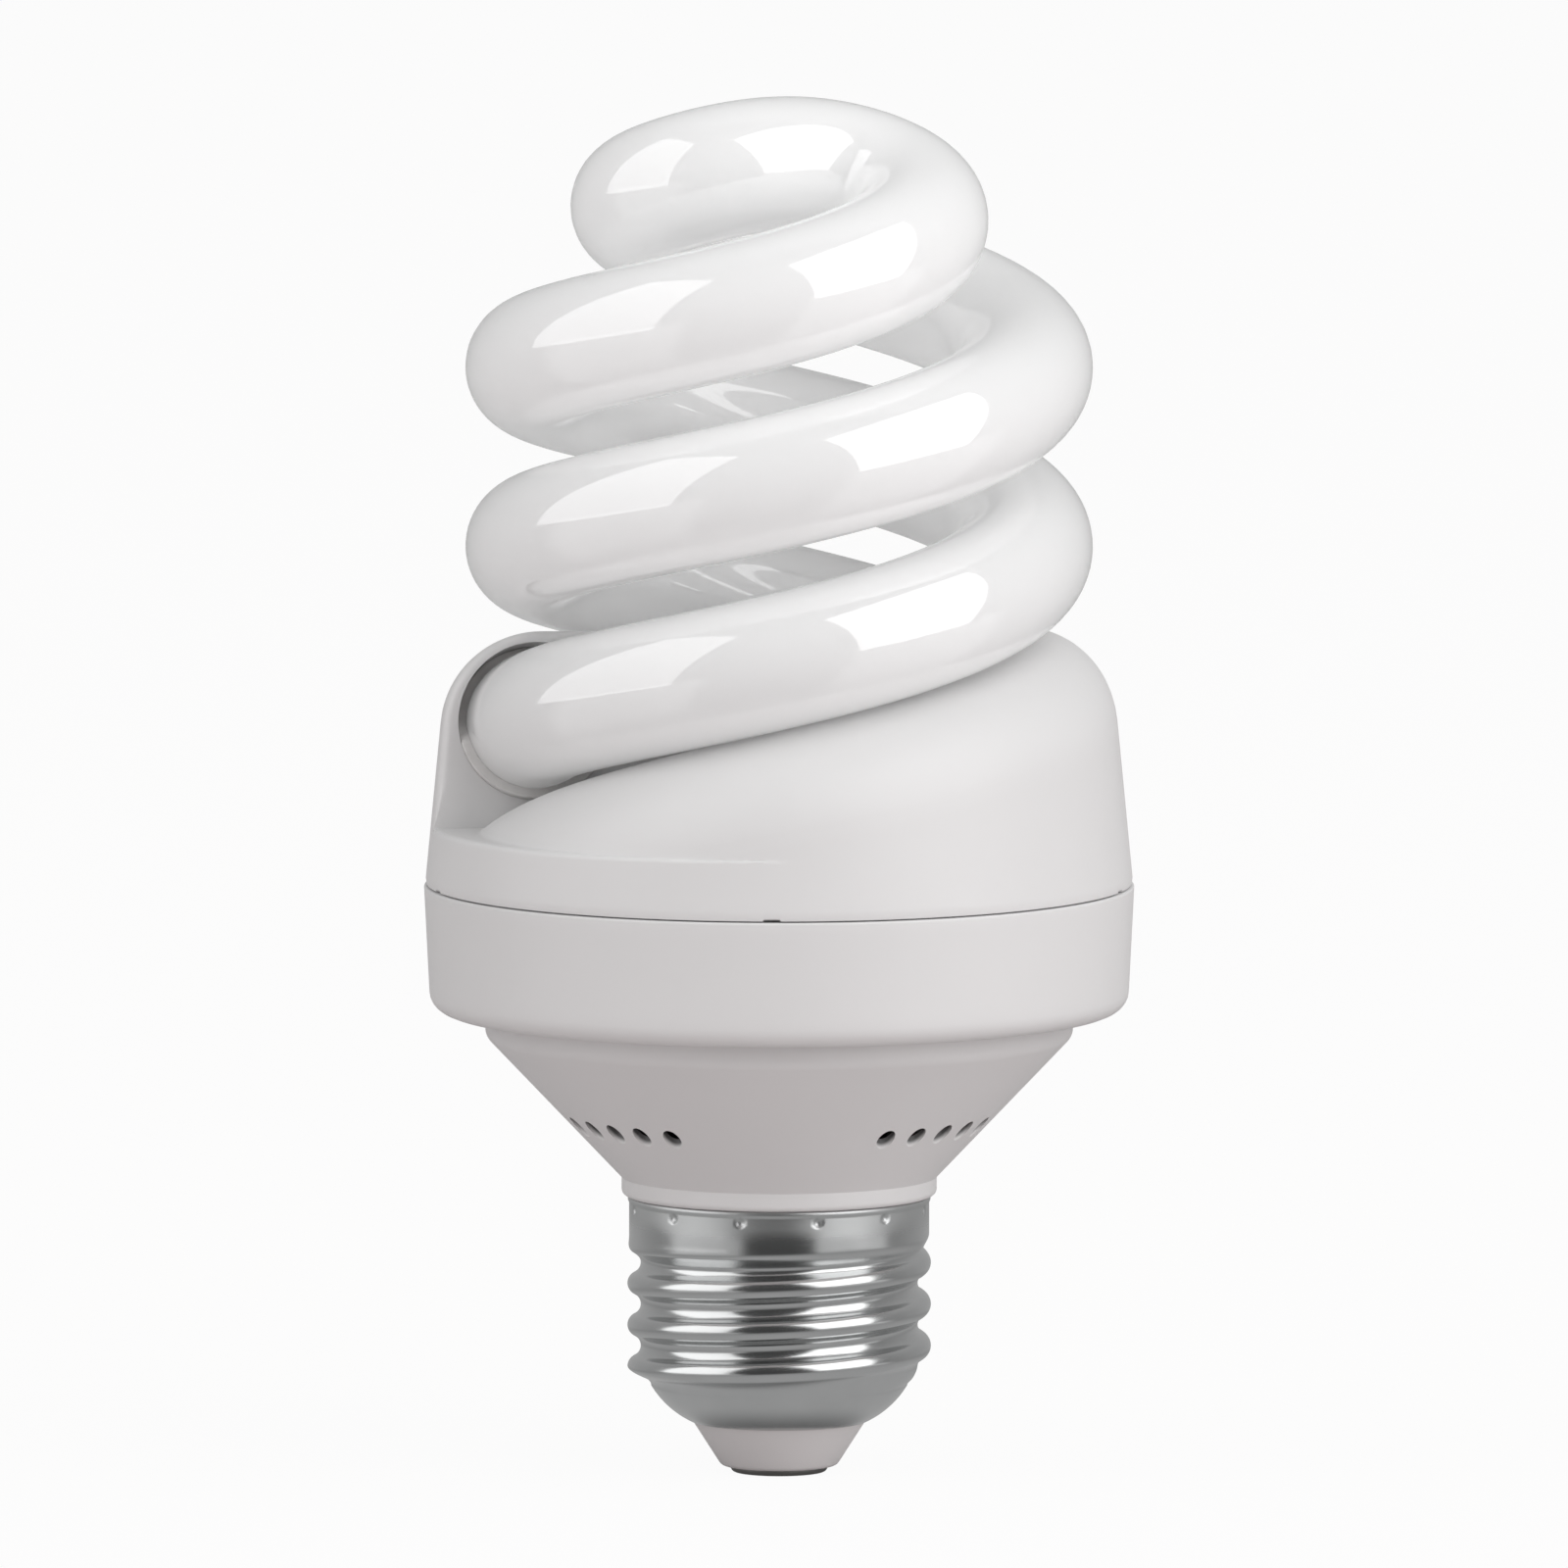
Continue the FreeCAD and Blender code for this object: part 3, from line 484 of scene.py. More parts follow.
def makeSpiral():
    sheet, put, sockets = geometrySheet("spiralTube", spiral)
    line = sheet.add("GeometryNodeMeshLine", {}, {"Count": put["Points"]})
    # -1 to 1 from end to end
    step = sheet.add("GeometryNodeInputIndex") * 2 / (put["Points"] - 1) - 1
    along = sheet.math("ABSOLUTE", step)
    share = put["Bridge Share"]
    # 0 on the strands, a quarter turn at the middle of the bridge
    lift = sheet.clamped(1 - along / share) * (math.pi / 2)
    leg = sheet.clamped((along - share) / (1 - share))
    turn = put["Coil Turn"] - leg * (put["Coil Turn"] + put["Tail Turn"])
    s = sheet.math("SINE", lift)
    startSlope = put["Coil Pitch"] * put["Bridge Turn"] / 360
    square = put["Bridge Rise"] * 3 - startSlope * 2 - put["Bridge End Slope"]
    cube = put["Bridge End Slope"] + startSlope - put["Bridge Rise"] * 2
    rise = s * (startSlope + s * (square + s * cube))
    z = put["Start Height"] + put["Coil Pitch"] * turn / 360 + rise
    radius = put["Coil Radius"] * sheet.math("COSINE", lift) * sheet.math("SIGN", step) * -1
    angle = sheet.math("RADIANS", turn + put["Bridge Turn"] * s + 180)
    x = radius * sheet.math("COSINE", angle) * mm
    y = radius * sheet.math("SINE", angle) * mm
    place = sheet.vector(x, y, z * mm)
    shaped = sheet.add("GeometryNodeSetPosition", {}, {"Geometry": line, "Position": place})
    path = sheet.add("GeometryNodeMeshToCurve", {}, {"Mesh": shaped})
    ring = sheet.add("GeometryNodeCurvePrimitiveCircle", {},
                     {"Resolution": put["Sides"], "Radius": put["Tube Radius"] * mm})
    tube = sheet.add("GeometryNodeCurveToMesh", {},
                     {"Curve": path, "Profile Curve": ring, "Fill Caps": True})
    closeSheet(sheet, tube, glass)
    piece = newPiece("spiralTube", [], [])
    runSheet(piece, sheet, sockets, spiral)
    weld(piece, weldUnder["swept"])
    smooth(piece, sharpOver["tube"])
    finishPiece(piece, glass, "coated_glass", "spiral_tube")


makeSpiral()


# screw shell: a plain turned sheet, then the thread and the punch marks are pressed into it
shell = {
    "wall": 0.35,
    "mouthDiameter": 15.3,
    "bowlRadius": 8.0,
    "bowlRows": 24,
    "bowlTopDiameter": 22.2,
    "collarDiameter": 26.0,
    "rimRound": 0.14,
    "segments": 252,
    "crowding": 0.7,
    "rowStep": 0.12,
    "innerRows": 3,
}
thread = {
    "Crest Radius": 13.15,
    "Depth": 1.15,
    "Pitch": 3.629,
    "Run Out": 1.7,
    "Shoulder": 0.7,
    "Low": bowlTopZ,
    "High": collarZ,
    "Crest Height": 12.8,
    "Bowl Radius": shell["bowlTopDiameter"] / 2,
    "Collar Radius": shell["collarDiameter"] / 2,
    "Punches": 12,
    "Punch Size": 0.46,
    "Punch Depth": 0.26,
    "Punch Height": rimZ - 1.05,
    "Bead Height": rimZ - 0.3,
    "Bead Size": 0.3,
    "Bead Out": 0.12,
}


def bowlPoints(inset):
    # arc of the rolled bowl from its mouth to the foot of the thread
    low = Vector((shell["mouthDiameter"] / 2, mouthZ))
    high = Vector((shell["bowlTopDiameter"] / 2, bowlTopZ))
    half = (high - low) / 2
    side = Vector((-half.y, half.x)).normalized()
    centre = low + half + side * math.sqrt(shell["bowlRadius"] ** 2 - half.length ** 2)
    start = math.atan2(low.y - centre.y, low.x - centre.x)
    end = math.atan2(high.y - centre.y, high.x - centre.x)
    r = shell["bowlRadius"] - inset
    count = shell["bowlRows"]
    steps = [start + (end - start) * k / (count - 1) for k in range(count)]
    return [centre + Vector((math.cos(a), math.sin(a))) * r for a in steps]


def makeShell():
    rows = round((collarZ - bowlTopZ) / shell["rowStep"])
    collarR = shell["collarDiameter"] / 2
    topR = shell["bowlTopDiameter"] / 2
    wall = shell["wall"]
    outer = bowlPoints(0)
    for k in range(1, rows):
        t = k / rows
        outer.append(Vector((topR + (collarR - topR) * t, bowlTopZ + (collarZ - bowlTopZ) * t)))
    rim = roundedLoop([(collarR, collarZ, 0), (collarR, rimZ, shell["rimRound"]),
                       (collarR - wall, rimZ, shell["rimRound"]), (collarR - wall, collarZ, 0)])
    collar = splitLong(rim, shell["rowStep"])
    # the run back across the wall at the collar's foot is left out
    kept = len(collar) - round(wall / shell["rowStep"]) - 1
    inner = [p - Vector((wall, 0)) for p in reversed(outer[shell["bowlRows"]::shell["innerRows"]])]
    inner += list(reversed(bowlPoints(wall)))
    piece = lathe("screwShell", outer + collar[:kept] + inner, shell["segments"],
                  thread["Punches"], shell["crowding"])
    sheet, put, sockets = geometrySheet("rolledThread", thread)
    x, y, z = [axis / mm for axis in sheet.parts(sheet.add("GeometryNodeInputPosition"))]
    angle = sheet.math("ARCTAN2", y, x)
    radius = sheet.math("SQRT", x * x + y * y)
    runIn = sheet.smoothStep(z, put["Low"], put["Low"] + put["Run Out"])
    shoulder = put["High"] + put["Shoulder"]
    runOut = sheet.smoothStep(z, shoulder, put["High"] - put["Run Out"])
    meanR = put["Crest Radius"] - put["Depth"] / 2
    rolled = meanR + (put["Bowl Radius"] - meanR) * (1 - runIn)
    rolled = rolled + (put["Collar Radius"] - meanR) * (1 - runOut)
    rise = sheet.clamped((z - put["Low"]) / (put["High"] - put["Low"]))
    plainR = put["Bowl Radius"] + (put["Collar Radius"] - put["Bowl Radius"]) * rise
    phase = angle - (z - put["Crest Height"]) / put["Pitch"] * (2 * math.pi) - math.pi
    # how far from the crest, along the axis
    aside = sheet.math("PINGPONG", phase, math.pi) * put["Pitch"] / (2 * math.pi)
    quarter = put["Pitch"] / 4
    arcR = (quarter * quarter + put["Depth"] * put["Depth"] / 4) / put["Depth"]
    nearest = sheet.math("MINIMUM", aside, quarter * 2 - aside)
    bulge = sheet.math("SQRT", arcR * arcR - nearest * nearest) - (arcR - put["Depth"] / 2)
    side = sheet.math("LESS_THAN", aside, quarter) * 2 - 1
    swing = bulge * side * runIn * runOut
    inThread = sheet.math("GREATER_THAN", z, put["Low"]) * sheet.math("LESS_THAN", z, shoulder)
    pressed = (rolled - plainR + swing) * inThread
    sector = 2 * math.pi / put["Punches"]
    offAngle = (angle % sector - sector / 2) * put["Collar Radius"]
    offHeight = z - put["Punch Height"]
    away = sheet.math("SQRT", offAngle * offAngle + offHeight * offHeight) / put["Punch Size"]
    dent = sheet.clamped(1 - away * away)
    offBead = (z - put["Bead Height"]) / put["Bead Size"]
    bead = sheet.clamped(1 - offBead * offBead) * put["Bead Out"]
    pressed = pressed - dent * put["Punch Depth"] + bead
    scale = (radius + pressed) / radius
    place = sheet.vector(x * scale * mm, y * scale * mm, z * mm)
    moved = {"Geometry": put["Geometry"], "Position": place}
    rolledMesh = sheet.add("GeometryNodeSetPosition", {}, moved)
    closeSheet(sheet, rolledMesh, plate)
    runSheet(piece, sheet, sockets, thread)
    smooth(piece, sharpOver["shell"])
    finishPiece(piece, plate, "shell_plate", "screw_shell")


makeShell()


# lower housing: one turned moulding, then the vents are cut straight up through its cone
housing = {
    "wall": 1.5,
    "ringRound": 0.55,
    "coneTopRound": 1.4,
    "bandFootDiameter": 60.4,
    "bandRimDiameter": 61.5,
    "bandFootRound": 1.8,
    "seamEdge": 0.2,
    "stepRound": 0.3,
    "insideRound": 0.5,
    "ventWall": 0.6,
    "ventReliefFrom": 16.9,
    "ventReliefTo": 19.9,
    "ventShadeFrom": 0.05,
    "ventShadeTo": 0.4,
    "ventShadeReach": 1.3,
    "bandBoreTaper": 0.55,
    "neckBoreDiameter": 19.4,
    "neckFootZ": 14.0,
    "neckFootRound": 0.4,
    "neckFit": 11.15,
    "collarFit": 12.63,
    "segments": 192,
    "rowStep": 0.9,
}
vents = {
    "Ring Radius": 18.4,
    "Hole Radius": 0.825,
    "Hole Sides": 24,
    "Per Group": 5,
    "Groups": 4,
    "Step": 10.0,
    "First Group": 40.0,
    "Pair Angle": 100.0,
    "Low": rimZ,
    "Depth": 17.0,
}


def ventShade(sheet):
    # painted shade in the vents, darker deeper than their lips, standing in for the dark inside of the
    # housing
    x, y, z = [axis / mm for axis in sheet.parts(sheet.place())]
    radius = sheet.math("SQRT", x * x + y * y)
    skin = bulb["ringDiameter"] / 2 + (z - coneZ) * coneSlope
    depth = (skin - radius) * math.cos(math.radians(bulb["coneHalfAngle"]))
    offRing = sheet.math("ABSOLUTE", radius - vents["Ring Radius"])
    onRing = sheet.math("LESS_THAN", offRing, vents["Hole Radius"] * housing["ventShadeReach"])
    return sheet.smoothStep(depth, housing["ventShadeFrom"], housing["ventShadeTo"]) * onRing


# the housing's plastic, with painted shade in its vents
housingPlastic = mouldedPlastic("housingPlastic", plasticLook["level"], plasticLook["warmth"], ventShade)


def makeHousing():
    ringR = bulb["ringDiameter"] / 2
    coneR = bulb["coneTopDiameter"] / 2
    neckR = housing["neckBoreDiameter"] / 2
    wall = housing["wall"]
    tilt = math.radians(bulb["coneHalfAngle"])
    slant = wall / math.cos(tilt)
    boreR = housing["bandRimDiameter"] / 2 - wall
    inside = housing["insideRound"]
    innerR = coneR - wall
    shoulderZ = collarZ + thread["Shoulder"]

    def conePoint(r, depth):
        # a point on the cone at this outer radius, this far under its skin
        return r - depth * math.cos(tilt), coneZ + (r - ringR) / coneSlope + depth * math.sin(tilt), 0

    loop = roundedLoop([
        (neckR, housing["neckFootZ"], 0),
        (housing["neckFit"], housing["neckFootZ"], housing["neckFootRound"]),
        (housing["neckFit"], shoulderZ, 0),
        (housing["collarFit"], shoulderZ, housing["stepRound"]),
        (housing["collarFit"], rimZ, 0),
        (ringR, rimZ, housing["ringRound"]),
        (ringR, coneZ, 0),
        (coneR, coneTopZ, housing["coneTopRound"]),
        (coneR, bandZ, housing["stepRound"]),
        (housing["bandFootDiameter"] / 2, bandZ, housing["bandFootRound"]),
        (housing["bandRimDiameter"] / 2, seamZ, housing["seamEdge"]),
        (boreR, seamZ, 0),
        (boreR - housing["bandBoreTaper"], bandZ + wall, inside),
        (innerR, bandZ + wall, inside),
        (innerR, coneZ + (innerR + slant - ringR) / coneSlope, inside),
        conePoint(housing["ventReliefTo"], wall),
        conePoint(housing["ventReliefTo"], housing["ventWall"]),
        conePoint(housing["ventReliefFrom"], housing["ventWall"]),
        conePoint(housing["ventReliefFrom"], wall),
        (neckR, coneZ + (neckR + slant - ringR) / coneSlope, inside),
    ])
    piece = lathe("lowerHousing", splitLong(loop, housing["rowStep"]), housing["segments"])
    sheet, put, sockets = geometrySheet("ventHoles", vents)
    spots = sheet.add("GeometryNodeMeshLine", {}, {"Count": put["Per Group"] * put["Groups"]})
    index = sheet.add("GeometryNodeInputIndex")
    group = sheet.math("FLOOR", index / put["Per Group"])
    place = index - group * put["Per Group"] - (put["Per Group"] - 1) / 2
    turn = put["First Group"] + put["Pair Angle"] * (group % 2) + sheet.math("FLOOR", group / 2) * 180
    angle = sheet.math("RADIANS", turn + place * put["Step"])
    reach = put["Ring Radius"] * mm
    middle = (put["Low"] + put["Depth"] / 2) * mm
    ring = sheet.vector(reach * sheet.math("COSINE", angle), reach * sheet.math("SINE", angle), middle)
    spots = sheet.add("GeometryNodeSetPosition", {}, {"Geometry": spots, "Position": ring})
    drill = sheet.add("GeometryNodeMeshCylinder", {}, {"Vertices": put["Hole Sides"],
                                                       "Radius": put["Hole Radius"] * mm,
                                                       "Depth": put["Depth"] * mm})
    drills = sheet.add("GeometryNodeInstanceOnPoints", {}, {"Points": spots, "Instance": drill})
    drills = sheet.add("GeometryNodeRealizeInstances", {}, {"Geometry": drills})
    cut = sheet.add("GeometryNodeMeshBoolean", {"operation": "DIFFERENCE", "solver": "EXACT"},
                    {"Mesh 1": put["Geometry"], "Mesh 2": drills})
    closeSheet(sheet, cut, housingPlastic)
    runSheet(piece, sheet, sockets, vents)
    smooth(piece, sharpOver["moulding"])
    finishPiece(piece, housingPlastic, "body_plastic", "lower_housing")


makeHousing()


# cap insulator and centre contact: turned pieces
insulator = {"footDiameter": 10.0, "footRound": 0.7, "neckDiameter": 15.0, "holeDiameter": 3.24,
             "inZ": 1.2, "edge": 0.25, "rowStep": 0.8, "segments": 96}
contact = {"diameter": 8.4, "edge": 0.4, "eyeletDiameter": 3.2, "eyeletRound": 0.1, "inZ": 3.0,
           "rowStep": 0.6, "segments": 96}


def makeInsulator():
    holeR = insulator["holeDiameter"] / 2
    neckR = insulator["neckDiameter"] / 2
    top = mouthZ + insulator["inZ"]
    loop = roundedLoop([
        (holeR, bulb["contactHeight"], 0),
        (insulator["footDiameter"] / 2, bulb["contactHeight"], insulator["footRound"]),
        (neckR, mouthZ, insulator["edge"]),
        (neckR, top, insulator["edge"]),
        (holeR, top, 0),
    ])
    piece = lathe("capInsulator", splitLong(loop, insulator["rowStep"]), insulator["segments"])
    smooth(piece, sharpOver["moulding"])
    finishPiece(piece, capPlastic, "cap_plastic", "cap_insulator")


def makeContact(look):
    r = contact["diameter"] / 2
    eyeR = contact["eyeletDiameter"] / 2
    height = bulb["contactHeight"]
    loop = roundedLoop([
        (0, 0, 0),
        (r, 0, contact["edge"]),
        (r, height, 0),
        (eyeR, height, 0),
        (eyeR, height + contact["inZ"], contact["eyeletRound"]),
        (0, height + contact["inZ"], 0),
    ])
    piece = lathe("centreContact", splitLong(loop, contact["rowStep"]), contact["segments"])
    smooth(piece, sharpOver["contact"])
    finishPiece(piece, look, "contact_metal", "centre_contact")


makeInsulator()


# tube holder: radial sections follow the two ramps round the axis
holder = {
    "seamDiameter": 61.3,
    "draft": 5.5,
    "rampLowRound": 11.3,
    "rampHighRound": 8.5,
    "rampRoom": 0.15,
    "rampSag": 1.5,
    "rampNear": 90.0,
    "hubDiameter": 17.0,
    "hubDrop": 0.6,
    "hubRound": 0.5,
    "hubRowStep": 2.0,
    "hubSegments": 96,
    "coreRadius": 6.0,
    "ledgeEdge": 0.45,
    "ledgeFoot": 0.3,
    "ledgeDrop": 1.2,
    "ledgeTouch": 0.001,
    "ledgeSteps": 8,
    "arcEnd": 0.12,
    "arcPoints": 40,
    "edgeShare": 0.6,
    "footShare": 0.25,
    "riserEdge": 0.8,
    "riserEdgeSteps": 6,
    "riserFade": 4.0,
    "seamEdge": 0.14,
    "seamRise": 0.6,
    "seamGap": 0.14,
    "seamDepth": 0.7,
    "slits": (15.0, 88.8, 165.0),
    "slitHalf": 1.3,
    "slitFade": 0.2,
    "slitGap": 0.3,
    "slitDepth": 1.25,
    "lip": 0.42,
    "lipEnd": 92.0,
    "lipFade": 18.0,
    "turnStep": 1.5,
    "rowsTop": 8,
    "rowsArc": 22,
    "rowsLedge": 24,
    "rowsWall": 8,
    "riserRows": 12,
    "boreBack": 20.0,
    "boreAhead": 14.0,
    "boreSides": 96,
    "boreSteps": 30,
}
draft = math.radians(holder["draft"])


def wallR(z):
    return holder["seamDiameter"] / 2 - (z - seamZ) * math.tan(draft)


def rampTop(turn):
    # closest to the tube half way up
    away = (turn - holder["rampNear"]) / holder["rampNear"]
    return strandZ(turn) - tubeR - holder["rampRoom"] - holder["rampSag"] * away ** 2


def rampRound(turn):
    share = (turn - bulb["riserAngle"]) / 180
    return holder["rampLowRound"] + (holder["rampHighRound"] - holder["rampLowRound"]) * share


def spaced(points, count):
    # count + 1 points at even steps along a broken line
    points = np.array(points)
    lengths = np.concatenate([[0], np.cumsum(np.linalg.norm(np.diff(points, axis=0), axis=1))])
    steps = np.linspace(0, lengths[-1], count + 1)
    return np.stack([np.interp(steps, lengths, points[:, k]) for k in range(2)], axis=1)


def inSlit(turn):
    # 1 where the seam gapes at a snap, 0 elsewhere
    away = min(abs(turn - slit) for slit in holder["slits"])
    return max(0.0, min(1.0, 1 - (away - holder["slitHalf"]) / holder["slitFade"]))


def holderSection(turn):
    r = rampRound(turn)
    top = rampTop(turn)
    centreZ = top - r
    lip = holder["lip"] * max(0.0, min(1.0, (holder["lipEnd"] - turn) / holder["lipFade"]))
    centreR = wallR(centreZ) - r / math.cos(draft) - lip
    foot = max(draft, math.asin(max(-1, min(1, (ledgeZ - centreZ) / r))))
    near = min(math.pi / 2, foot + holder["arcEnd"])
    angles = np.linspace(math.pi / 2, near, holder["arcPoints"])
    arc = [(centreR + r * math.cos(a), centreZ + r * math.sin(a)) for a in angles]
    start = (centreR + r * math.cos(foot), centreZ + r * math.sin(foot))
    edge = (wallR(ledgeZ), ledgeZ)
    lowZ = ledgeZ - holder["ledgeDrop"]
    low = (wallR(lowZ), lowZ)
    corners = [(*arc[-1], 0), (*start, 0), (*edge, 0), (*low, 0)]
    if start[1] > ledgeZ + holder["ledgeTouch"]:
        width = lip
        footRound = min(holder["ledgeFoot"], holder["footShare"] * width)
        corners.insert(2, (edge[0] - lip, ledgeZ, footRound))
    else:
        width = max(0.0, edge[0] - start[0])
        corners[1] = (*start, min(holder["ledgeFoot"], holder["footShare"] * width))
    corners[-2] = (*edge, min(holder["ledgeEdge"], holder["edgeShare"] * width))
    step = [tuple(p) for p in roundedLoop(corners, holder["ledgeSteps"])]
    rise = holder["seamRise"]
    slit = inSlit(turn)
    gap = holder["seamGap"] + (holder["slitGap"] - holder["seamGap"]) * slit
    depth = holder["seamDepth"] + (holder["slitDepth"] - holder["seamDepth"]) * slit
    seam = [(wallR(seamZ + rise), seamZ + rise),
            (wallR(seamZ) - holder["seamEdge"], seamZ + gap),
            (wallR(seamZ) - depth, seamZ)]
    rows = [spaced([(holder["coreRadius"], top), (centreR, top)], holder["rowsTop"])[:-1],
            spaced(arc, holder["rowsArc"])[:-1],
            spaced(step, holder["rowsLedge"])[:-1],
            spaced([low, seam[0]], holder["rowsWall"]),
            np.array([*seam[1:], (holder["coreRadius"], seamZ)])]
    return np.concatenate(rows)


def roundedEnd(section, inset):
    # the section shrunk along its own normals, only above the ledge and outside the hub
    ahead = np.roll(section, -1, axis=0) - np.roll(section, 1, axis=0)
    normal = np.stack([ahead[:, 1], -ahead[:, 0]], axis=1)
    normal /= np.maximum(np.linalg.norm(normal, axis=1, keepdims=True), 1e-9)
    rise = np.clip((section[:, 1] - ledgeZ) / holder["riserFade"], 0, 1)
    rise[-2:] = 0
    return section + normal * (inset * rise)[:, None]


def makeHolderBody():
    edge = holder["riserEdge"]
    edgeTurn = math.degrees(edge / coilR)
    first = bulb["riserAngle"]
    last = first + 180
    steps = round((180 - edgeTurn) / holder["turnStep"])
    turns = [first + (180 - edgeTurn) * k / steps for k in range(steps + 1)]
    for slit in holder["slits"]:
        for half in (holder["slitHalf"], holder["slitHalf"] + holder["slitFade"]):
            turns += [slit - half, slit + half]
    columns = [(turn, holderSection(turn)) for turn in sorted(turns)]
    for k in range(1, holder["riserEdgeSteps"] + 1):
        a = math.pi / 2 * k / holder["riserEdgeSteps"]
        turn = last - edgeTurn * (1 - math.sin(a))
        columns.append((turn, roundedEnd(holderSection(turn), edge * (1 - math.cos(a)))))
    high = columns[-1][1]
    low = columns[0][1]
    for k in range(1, holder["riserRows"]):
        columns.append((last, high + (low - high) * (k / holder["riserRows"])))
    columns += [(turn + 180, section) for turn, section in columns]
    verts = []
    for turn, section in columns:
        a = math.radians(180 + turn)
        verts += [(p[0] * math.cos(a), p[0] * math.sin(a), p[1]) for p in section]
    rows = len(low)
    faces = []
    for k in range(len(columns)):
        here, after = k * rows, (k + 1) % len(columns) * rows
        for j in range(rows):
            n = (j + 1) % rows
            faces.append((here + j, here + n, after + n, after + j))
    piece = newPiece("tubeHolder", verts, faces)
    weld(piece, weldUnder["holder"])
    return piece


def strandPoint(turn, radius, offset, b):
    # beside a strand: b is 0 on its outer side and a quarter turn below it
    a = math.radians(180 + turn + offset)
    out = Vector((math.cos(a), math.sin(a), 0))
    along = Vector((-math.sin(a), math.cos(a), bulb["coilPitch"] / (2 * math.pi * coilR))).normalized()
    down = along.cross(out).normalized()
    middle = out * coilR + Vector((0, 0, strandZ(turn)))
    return tuple(middle + (out * math.cos(b) + down * math.sin(b)) * radius)


def strandBar(name, radius, turnFrom, turnTo, offset):
    # a short closed bar along a strand, to cut the sockets
    sides, steps = holder["boreSides"], holder["boreSteps"]
    verts = []
    for k in range(steps + 1):
        turn = turnFrom + (turnTo - turnFrom) * k / steps
        verts += [strandPoint(turn, radius, offset, 2 * math.pi * i / sides) for i in range(sides)]
    faces = [tuple(range(sides)), tuple(range(steps * sides, (steps + 1) * sides))]
    for k in range(steps):
        for i in range(sides):
            n = (i + 1) % sides
            faces.append((k * sides + i, k * sides + n, (k + 1) * sides + n, (k + 1) * sides + i))
    piece = newPiece(name, verts, faces)
    weld(piece, weldUnder["swept"])
    return piece


# cement round the tube ends: turns of its back and front, and the side where it stands highest
seal = {"back": -6.0, "flush": 7.1, "sunk": 2.4, "flushSide": 105.0, "climbFrom": 0.25, "climb": 0.3,
        "clear": 0.02, "edge": 0.15, "edgeSteps": 4, "sides": 96, "steps": 16}


def sealFront(b):
    # the cement stands nearly flush below the tube and sinks away above it
    under = 0.5 + 0.5 * math.cos(b - math.radians(seal["flushSide"]))
    t = max(0.0, min(1.0, (under - seal["climbFrom"]) / seal["climb"]))
    return seal["sunk"] + (seal["flush"] - seal["sunk"]) * t * t * (3 - 2 * t)


def makeSeals(look):
    # a ring of cement round each tube end, its outer front edge a little rounded
    outer = tubeR + bulb["socketRoom"] - seal["clear"]
    inner = tubeR + seal["clear"]
    edgeTurn = math.degrees(seal["edge"] / coilR)
    verts, faces = [], []
    sides, steps = seal["sides"], seal["steps"]
    for offset in (0, 180):
        first = len(verts)
        profile = []
        for k in range(steps + 1):
            profile.append((k / steps, 0, outer))
        for k in range(1, seal["edgeSteps"] + 1):
            a = math.pi / 2 * k / seal["edgeSteps"]
            profile.append((1, edgeTurn * math.sin(a), outer - seal["edge"] * (1 - math.cos(a))))
        profile += [(1, edgeTurn, inner), (0, 0, inner)]
        for share, ahead, radius in profile:
            for i in range(sides):
                b = 2 * math.pi * i / sides
                turn = seal["back"] + (sealFront(b) - edgeTurn - seal["back"]) * share + ahead
                verts.append(strandPoint(turn, radius, offset, b))
        for k in range(len(profile)):
            here, after = first + k * sides, first + (k + 1) % len(profile) * sides
            for i in range(sides):
                n = (i + 1) % sides
                faces.append((here + i, here + n, after + n, after + i))
    piece = newPiece("tubeSeals", verts, faces)
    weld(piece, weldUnder["swept"])
    smooth(piece, sharpOver["cement"])
    finishPiece(piece, look, "seal_cement", "tube_seals")


def carve(piece, tool, operation):
    modifier = piece.modifiers.new("carve", "BOOLEAN")
    modifier.operation = operation
    modifier.solver = "EXACT"
    modifier.object = tool
    bake(piece)
    bpy.data.objects.remove(tool)


def makeHolder():
    piece = makeHolderBody()
    hubTop = rampTop(bulb["riserAngle"] + 180) - holder["hubDrop"]
    hubR = holder["hubDiameter"] / 2
    hubLoop = roundedLoop([
        (0, seamZ, 0),
        (hubR, seamZ, 0),
        (hubR, hubTop, holder["hubRound"]),
        (0, hubTop, 0),
    ])
    hub = lathe("hub", splitLong(hubLoop, holder["hubRowStep"]), holder["hubSegments"])
    carve(piece, hub, "UNION")
    boreFrom = bulb["riserAngle"] - holder["boreBack"]
    boreTo = bulb["riserAngle"] + holder["boreAhead"]
    for offset in (0, 180):
        bore = strandBar("bore", tubeR + bulb["socketRoom"], boreFrom, boreTo, offset)
        carve(piece, bore, "DIFFERENCE")
    smooth(piece, sharpOver["moulding"])
    finishPiece(piece, bodyPlastic, "body_plastic", "tube_holder")


makeHolder()

looks = {slot: plainLook(slot) for slot in plainLooks}
makeContact(looks["contact_metal"])
makeSeals(looks["seal_cement"])

# what stays as the frame made it gets the finish of its slot
slotOf = {part["node"]: part["material_slot"] for part in frame["record"]["subparts"]}
for node, piece in frame["nodes"].items():
    if slotOf[node] in looks:
        piece.data.materials.clear()
        piece.data.materials.append(looks[slotOf[node]])
print("frame nodes finished")


